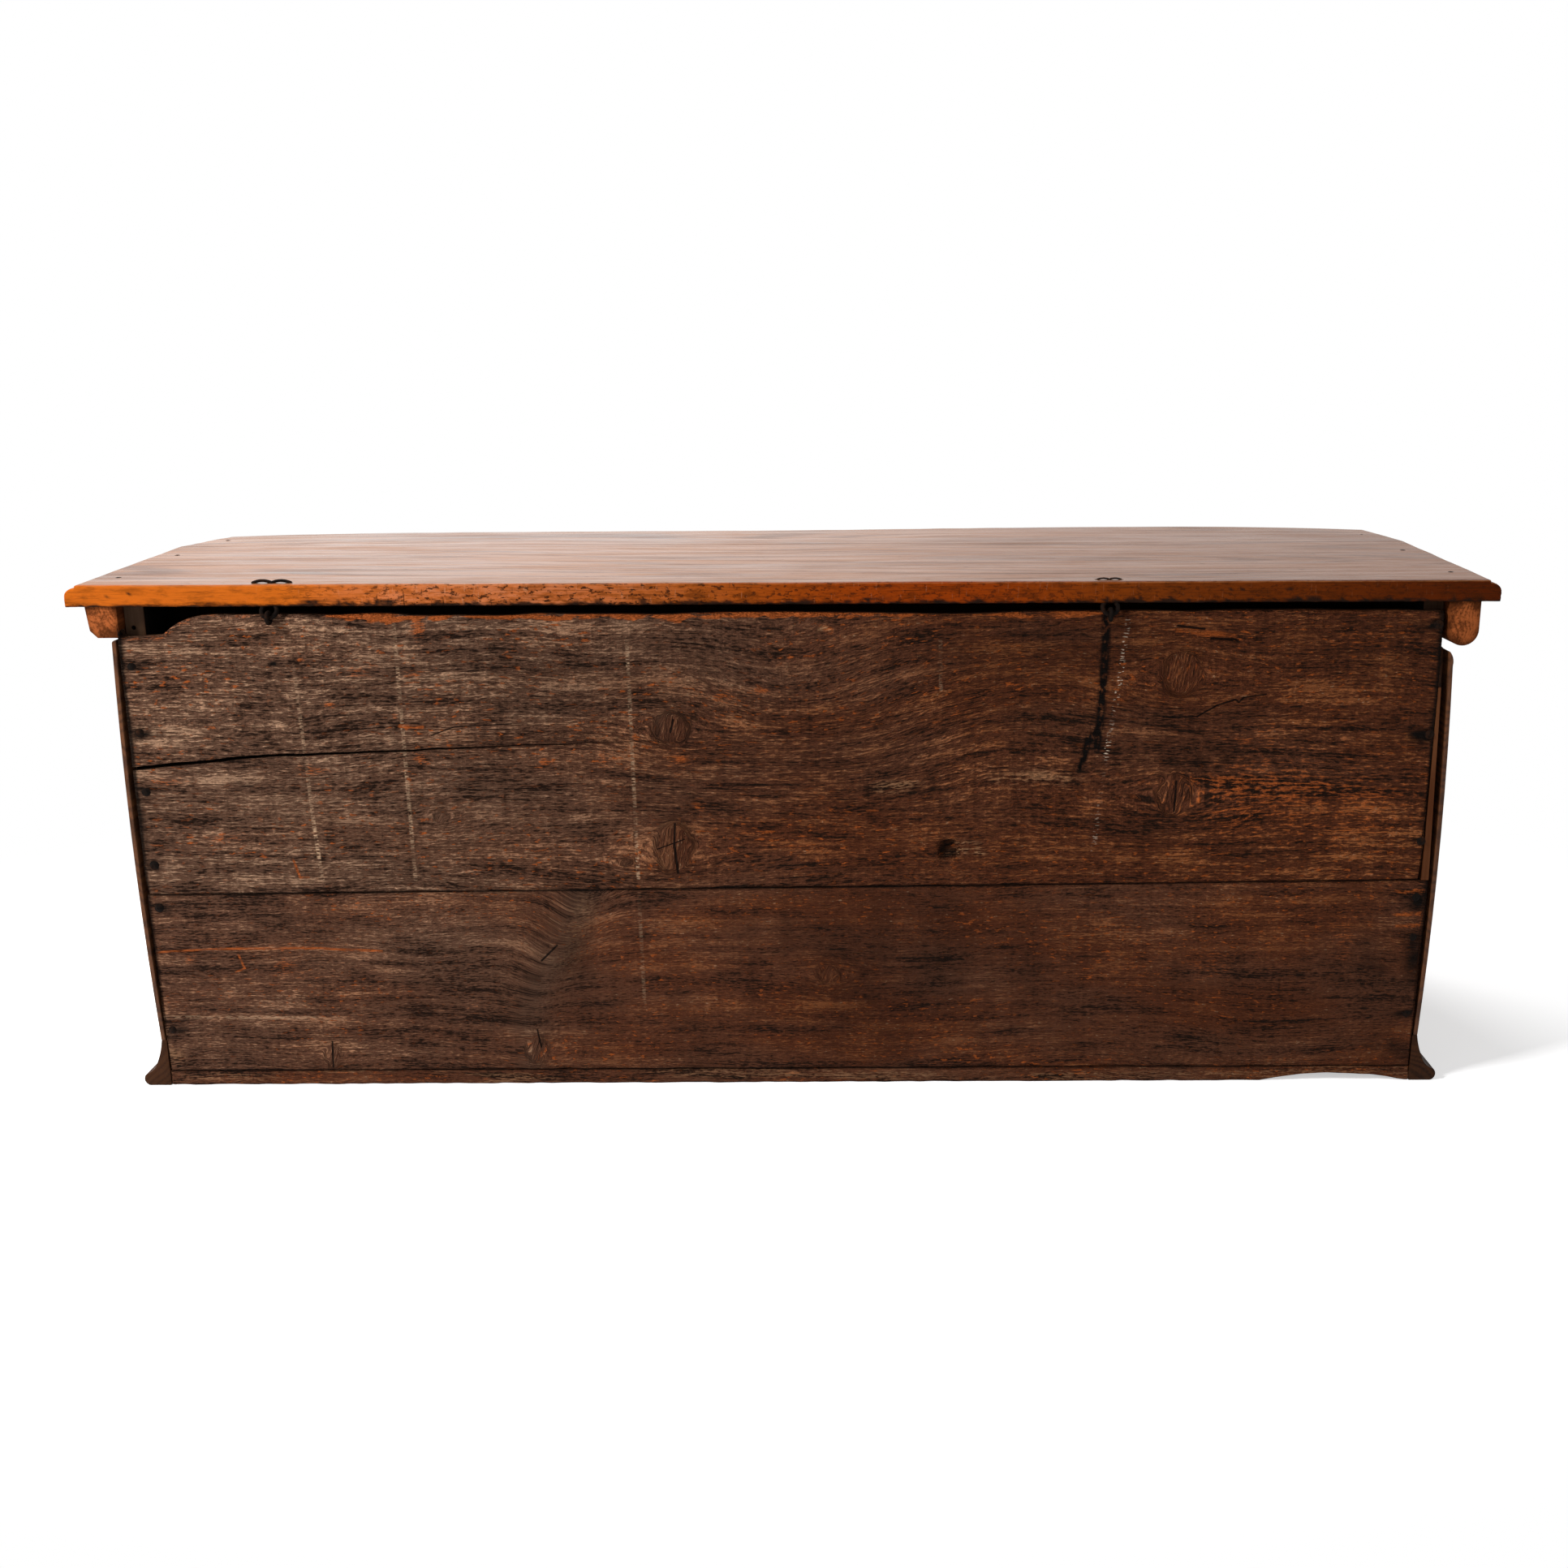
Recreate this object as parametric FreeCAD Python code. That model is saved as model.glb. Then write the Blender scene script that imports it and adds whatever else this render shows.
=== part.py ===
"""Mule chest: a boarded chest with a lift-up lid on wire hinges, a deep well and two drawers below.

Millimetres, +Z up, front towards -Y, origin on the floor under the middle of the whole chest.
Left and right are those of a person who stands in front of the chest.
"""

import FreeCAD
import Part
import math
import os

from FreeCAD import Vector

# Carcass
carcass_height = 578.0
side_thickness = 22.0
front_thickness = 22.0
back_thickness = 16.0
bottom_thickness = 18.5
bottom_wear_length = 175.0
bottom_wear_rise = 9.0
bottom_wear_depth = 60.0
bottom_wear_inset = 4.0
bottom_wear_crest_share = 0.4
well_floor_thickness = 16.0
well_floor_housing = 7.0
well_floor_clearance = 3.0
partition_thickness = 20.0
partition_housing = 4.0
overrun = 60.0

# Lid
lid_length = 1600.0
lid_end_overhang = 57.0
lid_depth = 505.0
lid_thickness = 24.0
lid_back_board_width = 310.0
lid_back_overhang = 3.0
lid_front_overhang = 30.0
lid_joint_rise = 9.0
lid_front_rise = 2.5
lid_front_bow = 8.0
lid_nose_height = 11.0
lid_moulding_width = 13.0
lid_quirk_depth = 2.5
moulding_swell_share = 0.72

# Cleats nailed under the lid's ends, outside the carcass
cleat_width = 35.0
cleat_clearance = 1.5
cleat_front_setback = 42.0
right_cleat_height = 35.0
right_cleat_taper = 3.0
right_cleat_chamfer = 8.0
left_cleat_height = 50.0
left_cleat_flat_height = 32.0

# Back boards
back_top_gap = 10.5
back_joint_height_right = 240.0
back_joint_height_left = 252.0
back_end_bow = 4.0
upper_back_left_top_short = 3.0
upper_back_left_foot_short = 4.7
break_length = 124.0
break_flat_length = 50.0
break_depth = 24.0
break_knee_along_share = 0.26
break_knee_up_share = 0.57
crack_mouth_height = 392.0
crack_mouth_width = 4.5
crack_tip_height = 423.0
crack_length = 588.0
filler_height = 228.0
filler_top_width = 3.0
filler_bottom_width = 8.5

# Side facings, cambered boards between the cleats and the base moulding
facing_top_thickness = 11.0
facing_middle_thickness = 14.0
facing_bottom_thickness = 6.5
facing_edge_thickness = 5.0
facing_rebate_width = 22.0
facing_cleat_gap = 3.0
left_facing_round_width = 9.5
left_facing_round_drop = 20.0
right_facing_round_width = 3.5
right_facing_round_drop = 3.5
facing_round_share = 0.7

# Base moulding
base_height = 58.0
base_projection = 32.0
base_top_projection = 6.5
base_crease_height = 29.0
base_crease_projection = 14.5
base_foot_width = 26.0
base_nose_height = 8.0
base_shoulder_height = 14.0
base_shoulder_projection = 29.5
base_cove_share = 0.62
base_upper_hollow = 1.2

# Drawer openings in the front
rail_top_height = 60.0
drawer_opening_height = 146.0
stile_width = 46.0
muntin_width = 50.0
tenon_length = 14.0
tenon_thickness = 8.0
runner_bearing_width = 18.0
guide_height = 26.0

# Drawers
drawer_length = 430.0
drawer_front_thickness = 20.0
drawer_side_thickness = 12.0
drawer_back_thickness = 12.0
drawer_bottom_thickness = 7.0
drawer_side_height = 128.0
drawer_back_drop = 6.0
drawer_reveal = 1.5
drawer_side_clearance = 0.8
drawer_rest_gap = 0.3
drawer_groove_depth = 5.0
drawer_groove_height = 8.0
drawer_tail_count = 3
drawer_tail_lap = 6.0
drawer_tail_margin = 5.0
drawer_tail_share = 0.62
drawer_tail_slope_deg = 9.0

# Turned knobs
knob_radius = 17.0
knob_reach = 28.0
knob_neck_radius = 8.0
knob_neck_length = 9.0
knob_flange_radius = 12.5
knob_flange_thickness = 3.5
knob_tenon_radius = 6.0
knob_crown_height = 4.0
knob_place_share = 0.25

# Wire hinges: an eye pin in the lid linked through an eye pin in the upper back board
right_hinge_inset = 170.0
left_hinge_inset = 378.0
hinge_axis_drop = 12.0
hinge_axis_standoff = 7.0
hinge_wire_radius = 2.5
lid_eye_radius = 8.5
back_eye_radius = 5.8
eye_slot_clearance = 1.0
pin_radius = 2.6
lid_pin_lean_deg = 30.0
back_pin_fall_deg = 15.0
prong_radius = 1.7
prong_reach = 21.0
prong_rise = 4.2

# Wrought nails
nail_length = 46.0
nail_radius = 2.2
nail_tip_radius = 0.8
nail_head_radius = 5.5
nail_crown_radius = 1.8
nail_head_height = 2.6
old_nail_hole_radius = 2.6
old_nail_hole_depth = 18.0
old_nail_hole_drop = 26.0
back_nail_inset = 9.0
left_upper_nail_shares = (0.15, 0.55, 0.95)
left_lower_nail_shares = (0.29, 0.7, 0.91)
right_upper_nail_shares = (0.12, 0.41, 0.64, 0.89)
right_lower_nail_shares = (0.24, 0.93)
bottom_nail_shares = (0.1, 0.5, 0.9)
front_nail_shares = (0.12, 0.5, 0.88)
cleat_nail_shares = (0.12, 0.5, 0.88)

# Places worked out from the sizes above
carcass_width = lid_length - 2 * lid_end_overhang
carcass_depth = lid_depth - lid_back_overhang - lid_front_overhang
half_width = carcass_width / 2
rear_reach = hinge_axis_standoff + back_eye_radius + hinge_wire_radius
front_reach = max(lid_depth - lid_back_overhang, carcass_depth + base_projection)
back_face = (front_reach - rear_reach) / 2
front_face = back_face - carcass_depth
back_inside = back_face - back_thickness
front_inside = front_face + front_thickness
lid_back = back_face + lid_back_overhang
lid_front = lid_back - lid_depth
lid_top = carcass_height + lid_thickness
lid_joint = lid_back - lid_back_board_width
bottom_top = bottom_thickness
drawer_opening_top = rail_top_height + drawer_opening_height
well_floor_under = drawer_opening_top + well_floor_clearance
well_floor_top = well_floor_under + well_floor_thickness
side_inside = half_width - side_thickness
opening_outer = half_width - stile_width
opening_inner = muntin_width / 2
back_top = carcass_height - back_top_gap
hinge_axis_y = back_face + hinge_axis_standoff
hinge_axis_z = carcass_height - hinge_axis_drop

LEFT = -1
RIGHT = 1
RIGHT_ANGLE_DEG = 90.0
FULL_TURN_DEG = 360.0


def across(a, b):
    """A point of a profile seen from the front: a along X, b up."""
    return Vector(a, 0, b)


def endways(a, b):
    """A point of a profile seen from the side: a along Y, b up."""
    return Vector(0, a, b)


def flat(a, b):
    """A point of a profile seen from above: a along X, b along Y."""
    return Vector(a, b, 0)


def face_of(place, start, *steps):
    """A closed face. A step is (end,) for a line or (middle, end) for an arc; the last line closes it."""
    edges = []
    here = place(*start)
    for step in steps + ((start,),):
        there = place(*step[-1])
        if len(step) > 1:
            edges.append(Part.Arc(here, place(*step[0]), there).toShape())
        elif not here.isEqual(there, Part.Precision.confusion()):
            edges.append(Part.makeLine(here, there))
        here = there
    return Part.Face(Part.Wire(edges))


def run_y(face, low, high):
    """A profile seen from the front, run from low to high along Y."""
    face.translate(Vector(0, low, 0))
    return face.extrude(Vector(0, high - low, 0))


def run_x(face, low, high):
    """A profile seen from the side, run from low to high along X."""
    face.translate(Vector(low, 0, 0))
    return face.extrude(Vector(high - low, 0, 0))


def run_z(face, low, high):
    """A profile seen from above, run from low to high."""
    face.translate(Vector(0, 0, low))
    return face.extrude(Vector(0, 0, high - low))


def board(x_ends, y_ends, z_ends):
    """A plain rectangular board between pairs of limits."""
    low = Vector(min(x_ends), min(y_ends), min(z_ends))
    size = Vector(max(x_ends), max(y_ends), max(z_ends)) - low
    return Part.makeBox(size.x, size.y, size.z, low)


def between(low, high, share):
    """The place at a share of the way from low to high."""
    return low + (high - low) * share


def nail(place, direction):
    """One wrought nail: its peaked head stands on the place, and its shank runs along the direction."""
    head = Part.makeCone(nail_head_radius, nail_crown_radius, nail_head_height, place, -direction)
    shank = Part.makeCone(nail_radius, nail_tip_radius, nail_length, place, direction)
    return head.fuse(shank).removeSplitter()


def sunk_nail(place, direction):
    """One wrought nail with a flat head, let in flush with the place."""
    head = Part.makeCylinder(nail_head_radius, nail_head_height, place, direction)
    shank = Part.makeCone(nail_radius, nail_tip_radius, nail_length, place, direction)
    return head.fuse(shank).removeSplitter()


def nails_at(places, direction):
    """A row of separate nails that all point one way."""
    return [nail(place, direction) for place in places]


def without(shape, cutters):
    """A shape with the cutters taken out of it."""
    return shape.cut(Part.makeCompound(cutters))


# Carcass boards

def make_side_board(hand):
    """One end board, with a housing across its inner face for the well floor."""
    inner = hand * side_inside
    high = carcass_height + lid_joint_rise
    body = board((inner, hand * half_width), (front_inside, back_inside), (bottom_top, high))
    body = body.common(make_space_under_lid(bottom_top))
    housing = board(
        (inner - hand * overrun, inner + hand * well_floor_housing),
        (front_inside, back_inside),
        (well_floor_under, well_floor_top),
    )
    return body.cut(housing)


def make_old_nail_hole(hand):
    """The empty hole in an end board's back edge, where the broken corner was once nailed."""
    place = Vector(hand * (half_width - back_nail_inset), back_inside, carcass_height - old_nail_hole_drop)
    return Part.makeCylinder(old_nail_hole_radius, old_nail_hole_depth, place, Vector(0, -1, 0))


def make_bottom_board():
    """The floor under the drawers, with a housing for the partition and a worn hollow at its back."""
    body = board((-half_width, half_width), (front_face, back_face), (0, bottom_top))
    wear_end = -half_width + bottom_wear_inset
    wear_start = wear_end + bottom_wear_length
    wear_crest = (between(wear_end, wear_start, bottom_wear_crest_share), bottom_wear_rise)
    wear = face_of(across, (wear_end, 0), (wear_crest, (wear_start, 0)))
    body = body.cut(run_y(wear, back_face - bottom_wear_depth, back_face + overrun))
    housing = board(
        (-partition_thickness / 2, partition_thickness / 2),
        (front_inside, back_inside),
        (bottom_top - partition_housing, bottom_top + overrun),
    )
    return body.cut(housing)


def make_well_floor():
    """The floor of the lidded well, housed in both ends, with a housing below for the partition."""
    reach = side_inside + well_floor_housing
    body = board((-reach, reach), (front_inside, back_inside), (well_floor_under, well_floor_top))
    housing = board(
        (-partition_thickness / 2, partition_thickness / 2),
        (front_inside, back_inside),
        (well_floor_under - overrun, well_floor_under + partition_housing),
    )
    return body.cut(housing)


def make_partition():
    """The upright board between the two drawers, housed in both floors."""
    return board(
        (-partition_thickness / 2, partition_thickness / 2),
        (front_inside, back_inside),
        (bottom_top - partition_housing, well_floor_under + partition_housing),
    )


# Back boards

def bowed_end(hand, height):
    """The end of a back board at a height: above the base moulding the ends bow out slightly."""
    middle = between(base_height, carcass_height, 0.5)
    rise = 1 - ((height - middle) / (carcass_height - middle)) ** 2
    return hand * (half_width + back_end_bow * rise)


def upper_back_left_end(height):
    """The upper back board's left end, which was sawn straight and a little short."""
    share = (height - back_joint_height_left) / (back_top - back_joint_height_left)
    return between(upper_back_left_foot_short, upper_back_left_top_short, share) - half_width


def make_upper_back_board():
    """The wide upper back board: a broken top corner and a long drying crack at its right end."""
    break_low = back_top - break_depth
    right_middle = between(back_joint_height_right, break_low, 0.5)
    break_foot = half_width - break_flat_length
    break_end = half_width - break_length
    knee = (
        between(break_foot, break_end, break_knee_along_share),
        between(break_low, back_top, break_knee_up_share),
    )
    face = face_of(
        across,
        (bowed_end(RIGHT, back_joint_height_right), back_joint_height_right),
        ((bowed_end(RIGHT, right_middle), right_middle), (bowed_end(RIGHT, break_low), break_low)),
        ((break_foot, break_low),),
        (knee, (break_end, back_top)),
        ((upper_back_left_end(back_top), back_top),),
        ((upper_back_left_end(back_joint_height_left), back_joint_height_left),),
    )
    body = run_y(face, back_inside, back_face)
    mouth = half_width + overrun
    lower_lip = crack_mouth_height - crack_mouth_width / 2
    upper_lip = crack_mouth_height + crack_mouth_width / 2
    crack = face_of(
        across,
        (mouth, lower_lip),
        ((half_width, lower_lip),),
        ((half_width - crack_length, crack_tip_height),),
        ((half_width, upper_lip),),
        ((mouth, upper_lip),),
    )
    return body.cut(run_y(crack, back_inside - overrun, back_face + overrun))


def make_lower_back_board():
    """The lower back board, which stands on the edge of the bottom board."""
    right_middle = between(base_height, back_joint_height_right, 0.5)
    left_middle = between(base_height, back_joint_height_left, 0.5)
    face = face_of(
        across,
        (half_width, bottom_top),
        ((half_width, base_height),),
        (
            (bowed_end(RIGHT, right_middle), right_middle),
            (bowed_end(RIGHT, back_joint_height_right), back_joint_height_right),
        ),
        ((bowed_end(LEFT, back_joint_height_left), back_joint_height_left),),
        ((bowed_end(LEFT, left_middle), left_middle), (-half_width, base_height)),
        ((-half_width, bottom_top),),
    )
    return run_y(face, back_inside, back_face)


def make_back_filler():
    """The slip of wood between the upper back board's short left end and the facing."""
    low = back_joint_height_left
    high = low + filler_height
    foot = upper_back_left_end(low)
    head = upper_back_left_end(high)
    face = face_of(
        across,
        (foot, low),
        ((head, high),),
        ((head - filler_top_width, high),),
        ((foot - filler_bottom_width, low),),
    )
    return run_y(face, back_inside, back_face)


# Front frame

def make_front_board():
    """The wide board across the front of the well, mortised below for the muntin."""
    high = lid_under(front_face, lid_length / 2)
    body = board((-half_width, half_width), (front_face, front_inside), (drawer_opening_top, high))
    return body.cut(make_tenon_upright(drawer_opening_top, drawer_opening_top + tenon_length))


def tenon_faces():
    """The front and back of every tenon in the front frame."""
    middle = front_face + front_thickness / 2
    return (middle - tenon_thickness / 2, middle + tenon_thickness / 2)


def make_tenon_upright(low, high):
    """A tenon of the muntin, between two heights."""
    half = opening_inner - tenon_thickness
    return board((-half, half), tenon_faces(), (low, high))


def make_tenon_sideways(hand):
    """A tenon at one end of the bottom rail."""
    low = bottom_top + tenon_thickness
    high = rail_top_height - tenon_thickness
    return board((hand * opening_outer, hand * (opening_outer + tenon_length)), tenon_faces(), (low, high))


def make_front_stile(hand):
    """The upright beside a drawer, mortised for the bottom rail."""
    body = board(
        (hand * opening_outer, hand * half_width),
        (front_face, front_inside),
        (bottom_top, drawer_opening_top),
    )
    return body.cut(make_tenon_sideways(hand))


def make_bottom_rail():
    """The rail under both drawers, tenoned into the stiles and mortised for the muntin."""
    body = board((-opening_outer, opening_outer), (front_face, front_inside), (bottom_top, rail_top_height))
    body = body.multiFuse([make_tenon_sideways(LEFT), make_tenon_sideways(RIGHT)]).removeSplitter()
    return body.cut(make_tenon_upright(rail_top_height - tenon_length, rail_top_height))


def make_muntin():
    """The short upright between the drawers, tenoned at both ends."""
    body = board(
        (-opening_inner, opening_inner),
        (front_face, front_inside),
        (rail_top_height, drawer_opening_top),
    )
    lower = make_tenon_upright(rail_top_height - tenon_length, rail_top_height)
    upper = make_tenon_upright(drawer_opening_top, drawer_opening_top + tenon_length)
    return body.multiFuse([lower, upper]).removeSplitter()


# Drawer runners

def make_runner(hand, wall, opening_edge):
    """One rebated runner: the drawer side slides on its bearing, and its guide keeps the drawer straight."""
    inward = 1 if opening_edge > wall else -1
    guide_face = opening_edge + inward * (drawer_reveal - drawer_side_clearance)
    bearing_edge = guide_face + inward * runner_bearing_width
    face = face_of(
        across,
        (hand * wall, bottom_top),
        ((hand * bearing_edge, bottom_top),),
        ((hand * bearing_edge, rail_top_height),),
        ((hand * guide_face, rail_top_height),),
        ((hand * guide_face, rail_top_height + guide_height),),
        ((hand * wall, rail_top_height + guide_height),),
    )
    return run_y(face, front_inside, back_inside)


# Side facings and base moulding

def facing_top(hand):
    """The height of a facing's top edge, just below the cleat on that end."""
    cleat_height = right_cleat_height if hand == RIGHT else left_cleat_height
    return carcass_height - cleat_height - facing_cleat_gap


def make_side_facing(hand):
    """The cambered outer board on one end, with a rounded top and a rebate behind its back edge."""
    top = facing_top(hand)
    middle = between(base_height, top, 0.5)
    round_width = right_facing_round_width if hand == RIGHT else left_facing_round_width
    round_drop = right_facing_round_drop if hand == RIGHT else left_facing_round_drop
    outer = half_width + facing_top_thickness
    corner = outer - round_width
    shoulder = (
        hand * between(corner, outer, facing_round_share),
        between(top - round_drop, top, facing_round_share),
    )
    face = face_of(
        across,
        (hand * half_width, base_height),
        ((hand * (half_width + facing_bottom_thickness), base_height),),
        (
            (hand * (half_width + facing_middle_thickness), middle),
            (hand * outer, top - round_drop),
        ),
        (shoulder, (hand * corner, top)),
        ((hand * half_width, top),),
    )
    body = run_y(face, front_face, back_face)
    edge = half_width - facing_edge_thickness
    rebate = face_of(
        across,
        (hand * edge, base_height),
        ((hand * (edge + facing_bottom_thickness), base_height),),
        ((hand * (edge + facing_middle_thickness), middle), (hand * (edge + facing_top_thickness), top)),
        ((hand * edge, top),),
    )
    return body.cut(run_y(rebate, back_face - facing_rebate_width, back_face + overrun))


def base_profile(place, wall, out):
    """The moulding's section: a torus foot, a cove above it and a slightly hollow upper member."""
    def at(projection, height):
        return (wall + out * projection, height)

    nose = at(base_projection, base_nose_height)
    cove = at(
        between(base_shoulder_projection, base_crease_projection, base_cove_share),
        between(base_shoulder_height, base_crease_height, 1 - base_cove_share),
    )
    hollow = at(
        between(base_crease_projection, base_top_projection, 0.5) - base_upper_hollow,
        between(base_crease_height, base_height, 0.5),
    )
    return face_of(
        place,
        at(0, 0),
        (at(base_foot_width, 0),),
        (nose, at(base_shoulder_projection, base_shoulder_height)),
        (cove, at(base_crease_projection, base_crease_height)),
        (hollow, at(base_top_projection, base_height)),
        (at(0, base_height),),
    )


def mitre_cutter(hand, keep_front):
    """The three-cornered block that mitres the base moulding at a front corner."""
    corner = (hand * half_width, front_face)
    reach = base_projection + overrun
    far = (corner[0] + hand * reach, corner[1] - reach)
    side = (far[0], corner[1]) if keep_front else (corner[0], far[1])
    return run_z(face_of(flat, corner, (far,), (side,)), -overrun, base_height + overrun)


def make_base_moulding_side(hand):
    """The base moulding along one end, mitred at the front."""
    face = base_profile(across, hand * half_width, hand)
    length = run_y(face, front_face - base_projection, back_face)
    return length.cut(mitre_cutter(hand, False))


def make_base_moulding_front():
    """The base moulding along the front, mitred at both corners."""
    reach = half_width + base_projection
    length = run_x(base_profile(endways, front_face, -1), -reach, reach)
    return without(length, [mitre_cutter(LEFT, True), mitre_cutter(RIGHT, True)])


# Lid

def lid_edge_steps(nose, inward, top):
    """The thumbnail moulding from the lid's lower nose up to a height over its quirk."""
    nose_top = carcass_height + lid_nose_height
    crest = lid_top - lid_quirk_depth
    inner = nose + inward * lid_moulding_width
    swell = (
        between(inner, nose, moulding_swell_share),
        between(nose_top, crest, moulding_swell_share),
    )
    return (((nose, nose_top),), (swell, (inner, crest)), ((inner, top),))


def lid_front_height(place_x):
    """How far the lid's front edge stands above its back edge at a place along it."""
    return lid_front_rise + lid_front_bow * (1 - (2 * place_x / lid_length) ** 2)


def lid_under(depth, place_x):
    """The height of the lid's underside: both boards run straight to their joint."""
    if depth >= lid_joint:
        return carcass_height + lid_joint_rise * (lid_back - depth) / lid_back_board_width
    share = (depth - lid_front) / (lid_joint - lid_front)
    return carcass_height + between(lid_front_height(place_x), lid_joint_rise, share)


def make_space_under_lid(low):
    """The space between a height and the underside of the lid's ends, to fit what the lid rests on."""
    lid_end = lid_length / 2
    face = face_of(
        endways,
        (lid_front, low),
        ((lid_back, low),),
        ((lid_back, lid_under(lid_back, lid_end)),),
        ((lid_joint, lid_under(lid_joint, lid_end)),),
        ((lid_front, lid_under(lid_front, lid_end)),),
    )
    return run_x(face, -lid_end, lid_end)


def make_lid_strip(low, high, top):
    """A flat length of lid between two depths and up to a height, moulded on both ends."""
    half = lid_length / 2
    ends = face_of(
        across,
        (-half, carcass_height),
        *lid_edge_steps(-half, 1, top),
        *reversed_steps(lid_edge_steps(half, -1, top), (half, carcass_height)),
    )
    return run_y(ends, low, high)


def make_lid_board_back():
    """The lid's back board, tipped up towards the joint."""
    strip = make_lid_strip(lid_joint - overrun, lid_back, lid_top)
    tip = math.degrees(math.atan2(lid_joint_rise, lid_back_board_width))
    strip.rotate(Vector(0, lid_back, carcass_height), Vector(-1, 0, 0), tip)
    return strip.common(lid_side(lid_joint, lid_back + overrun))


def tip_up_front(shape, rise):
    """Tips a level length of the lid's front board: it runs from its rise at the front to the joint."""
    width = lid_depth - lid_back_board_width
    tip = math.degrees(math.atan2(lid_joint_rise - rise, width))
    shape.rotate(Vector(0, lid_front, carcass_height), Vector(1, 0, 0), tip)
    shape.translate(Vector(0, 0, rise))
    return shape


def lid_front_section(place_x):
    """The section of the lid's front board at a place along it."""
    far = lid_joint + overrun
    face = face_of(
        endways,
        (lid_front, carcass_height),
        *lid_edge_steps(lid_front, 1, lid_top),
        ((far, lid_top),),
        ((far, carcass_height),),
    )
    section = tip_up_front(face.OuterWire, lid_front_height(place_x))
    section.translate(Vector(place_x, 0, 0))
    return section


def make_lid_board_front():
    """The lid's front board, moulded along the front too; its front edge has bowed up in the middle."""
    past_end = lid_length / 2 + overrun
    sections = [lid_front_section(place) for place in (-past_end, 0, past_end)]
    body = Part.makeLoft(sections, True, False)
    ends = make_lid_strip(lid_front - overrun, lid_joint + overrun, lid_top + overrun)
    body = body.common(tip_up_front(ends, lid_front_rise))
    return body.common(lid_side(lid_front - overrun, lid_joint))


def lid_side(low, high):
    """The whole space on one side of the lid's joint."""
    half = lid_length / 2 + overrun
    return board((-half, half), (low, high), (carcass_height - overrun, lid_top + overrun))


def reversed_steps(steps, start):
    """The same outline walked the other way, ending at start."""
    points = [start] + [step[-1] for step in steps]
    backwards = [(points[-1],)]
    for index in range(len(steps) - 1, -1, -1):
        step = steps[index]
        backwards.append((step[0], points[index]) if len(step) > 1 else (points[index],))
    return tuple(backwards)


def make_right_cleat():
    """The squarer cleat, chamfered at its lower outer corner."""
    inner = half_width + cleat_clearance
    outer = inner + cleat_width
    foot = outer - right_cleat_taper
    low = carcass_height - right_cleat_height
    high = carcass_height + lid_joint_rise
    face = face_of(
        across,
        (inner, low),
        ((foot - right_cleat_chamfer, low),),
        ((foot, low + right_cleat_chamfer),),
        ((outer, carcass_height),),
        ((outer, high),),
        ((inner, high),),
    )
    return run_y(face, lid_front + cleat_front_setback, back_face).common(make_space_under_lid(low))


def make_left_cleat():
    """The deeper cleat, rounded along its lower side."""
    inner = -half_width - cleat_clearance
    outer = inner - cleat_width
    spring = carcass_height - left_cleat_flat_height
    low = carcass_height - left_cleat_height
    high = carcass_height + lid_joint_rise
    face = face_of(
        across,
        (inner, high),
        ((outer, high),),
        ((outer, spring),),
        ((between(inner, outer, 0.5), low), (inner, spring)),
    )
    return run_y(face, lid_front + cleat_front_setback, back_face).common(make_space_under_lid(low))


# Wire hinges

def prong(exit_place, along, outward):
    """One clinched prong: an arched wire from its hole to where it bites the wood again."""
    radius = (prong_reach ** 2 / 4 + prong_rise ** 2) / (2 * prong_rise)
    centre = exit_place + along * (prong_reach / 2) - outward * (radius - prong_rise)
    turn = 2 * math.degrees(math.asin(prong_reach / (2 * radius)))
    start = exit_place - centre
    tangent = along.cross(outward).cross(start)
    section = Part.Face(Part.Wire(Part.makeCircle(prong_radius, exit_place, tangent)))
    return section.revolve(centre, outward.cross(along), turn)


def eye_pin(place, eye_axis, eye_centre, pin_start, pin_end, outward):
    """An eye, its pin through the wood, and the two prongs clinched where the pin comes out."""
    ring_radius = (place - eye_centre).Length or back_eye_radius
    ring = Part.makeTorus(ring_radius, hinge_wire_radius, eye_centre, eye_axis)
    pin = Part.makeCylinder(pin_radius, (pin_end - pin_start).Length, pin_start, pin_end - pin_start)
    knuckle = Part.makeSphere(pin_radius, pin_end)
    prongs = [prong(pin_end, Vector(hand, 0, 0), outward) for hand in (LEFT, RIGHT)]
    return ring.multiFuse([pin, knuckle] + prongs).removeSplitter()


def lid_pin_direction():
    """The way the lid's eye pins run: up, leaning towards the front."""
    lean = math.radians(lid_pin_lean_deg)
    return Vector(0, -math.sin(lean), math.cos(lean))


def back_pin_direction():
    """The way the back board's eye pins run: forwards, falling a little."""
    fall = math.radians(back_pin_fall_deg)
    return Vector(0, -math.cos(fall), -math.sin(fall))


def make_lid_eye(place_x):
    """The eye pin that hangs from the lid: its eye's lowest wire lies on the hinge axis."""
    place = Vector(place_x, hinge_axis_y, hinge_axis_z)
    along = lid_pin_direction()
    centre = place + along * lid_eye_radius
    start = place + along * (2 * lid_eye_radius)
    slope = lid_joint_rise / lid_back_board_width
    climb = lid_top - hinge_axis_z + (lid_back - hinge_axis_y) * slope
    end = place + along * (climb / (along.z + along.y * slope))
    return eye_pin(place, along.cross(Vector(1, 0, 0)), centre, start, end, Vector(0, 0, 1))


def make_lid_eye_slot(place_x):
    """The slot in the lid's back edge that the lid's eye sits in."""
    along = lid_pin_direction()
    axis = along.cross(Vector(1, 0, 0))
    centre = Vector(place_x, hinge_axis_y, hinge_axis_z) + along * lid_eye_radius
    half = hinge_wire_radius + eye_slot_clearance
    return Part.makeCylinder(lid_eye_radius + half, 2 * half, centre - axis * half, axis)


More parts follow.
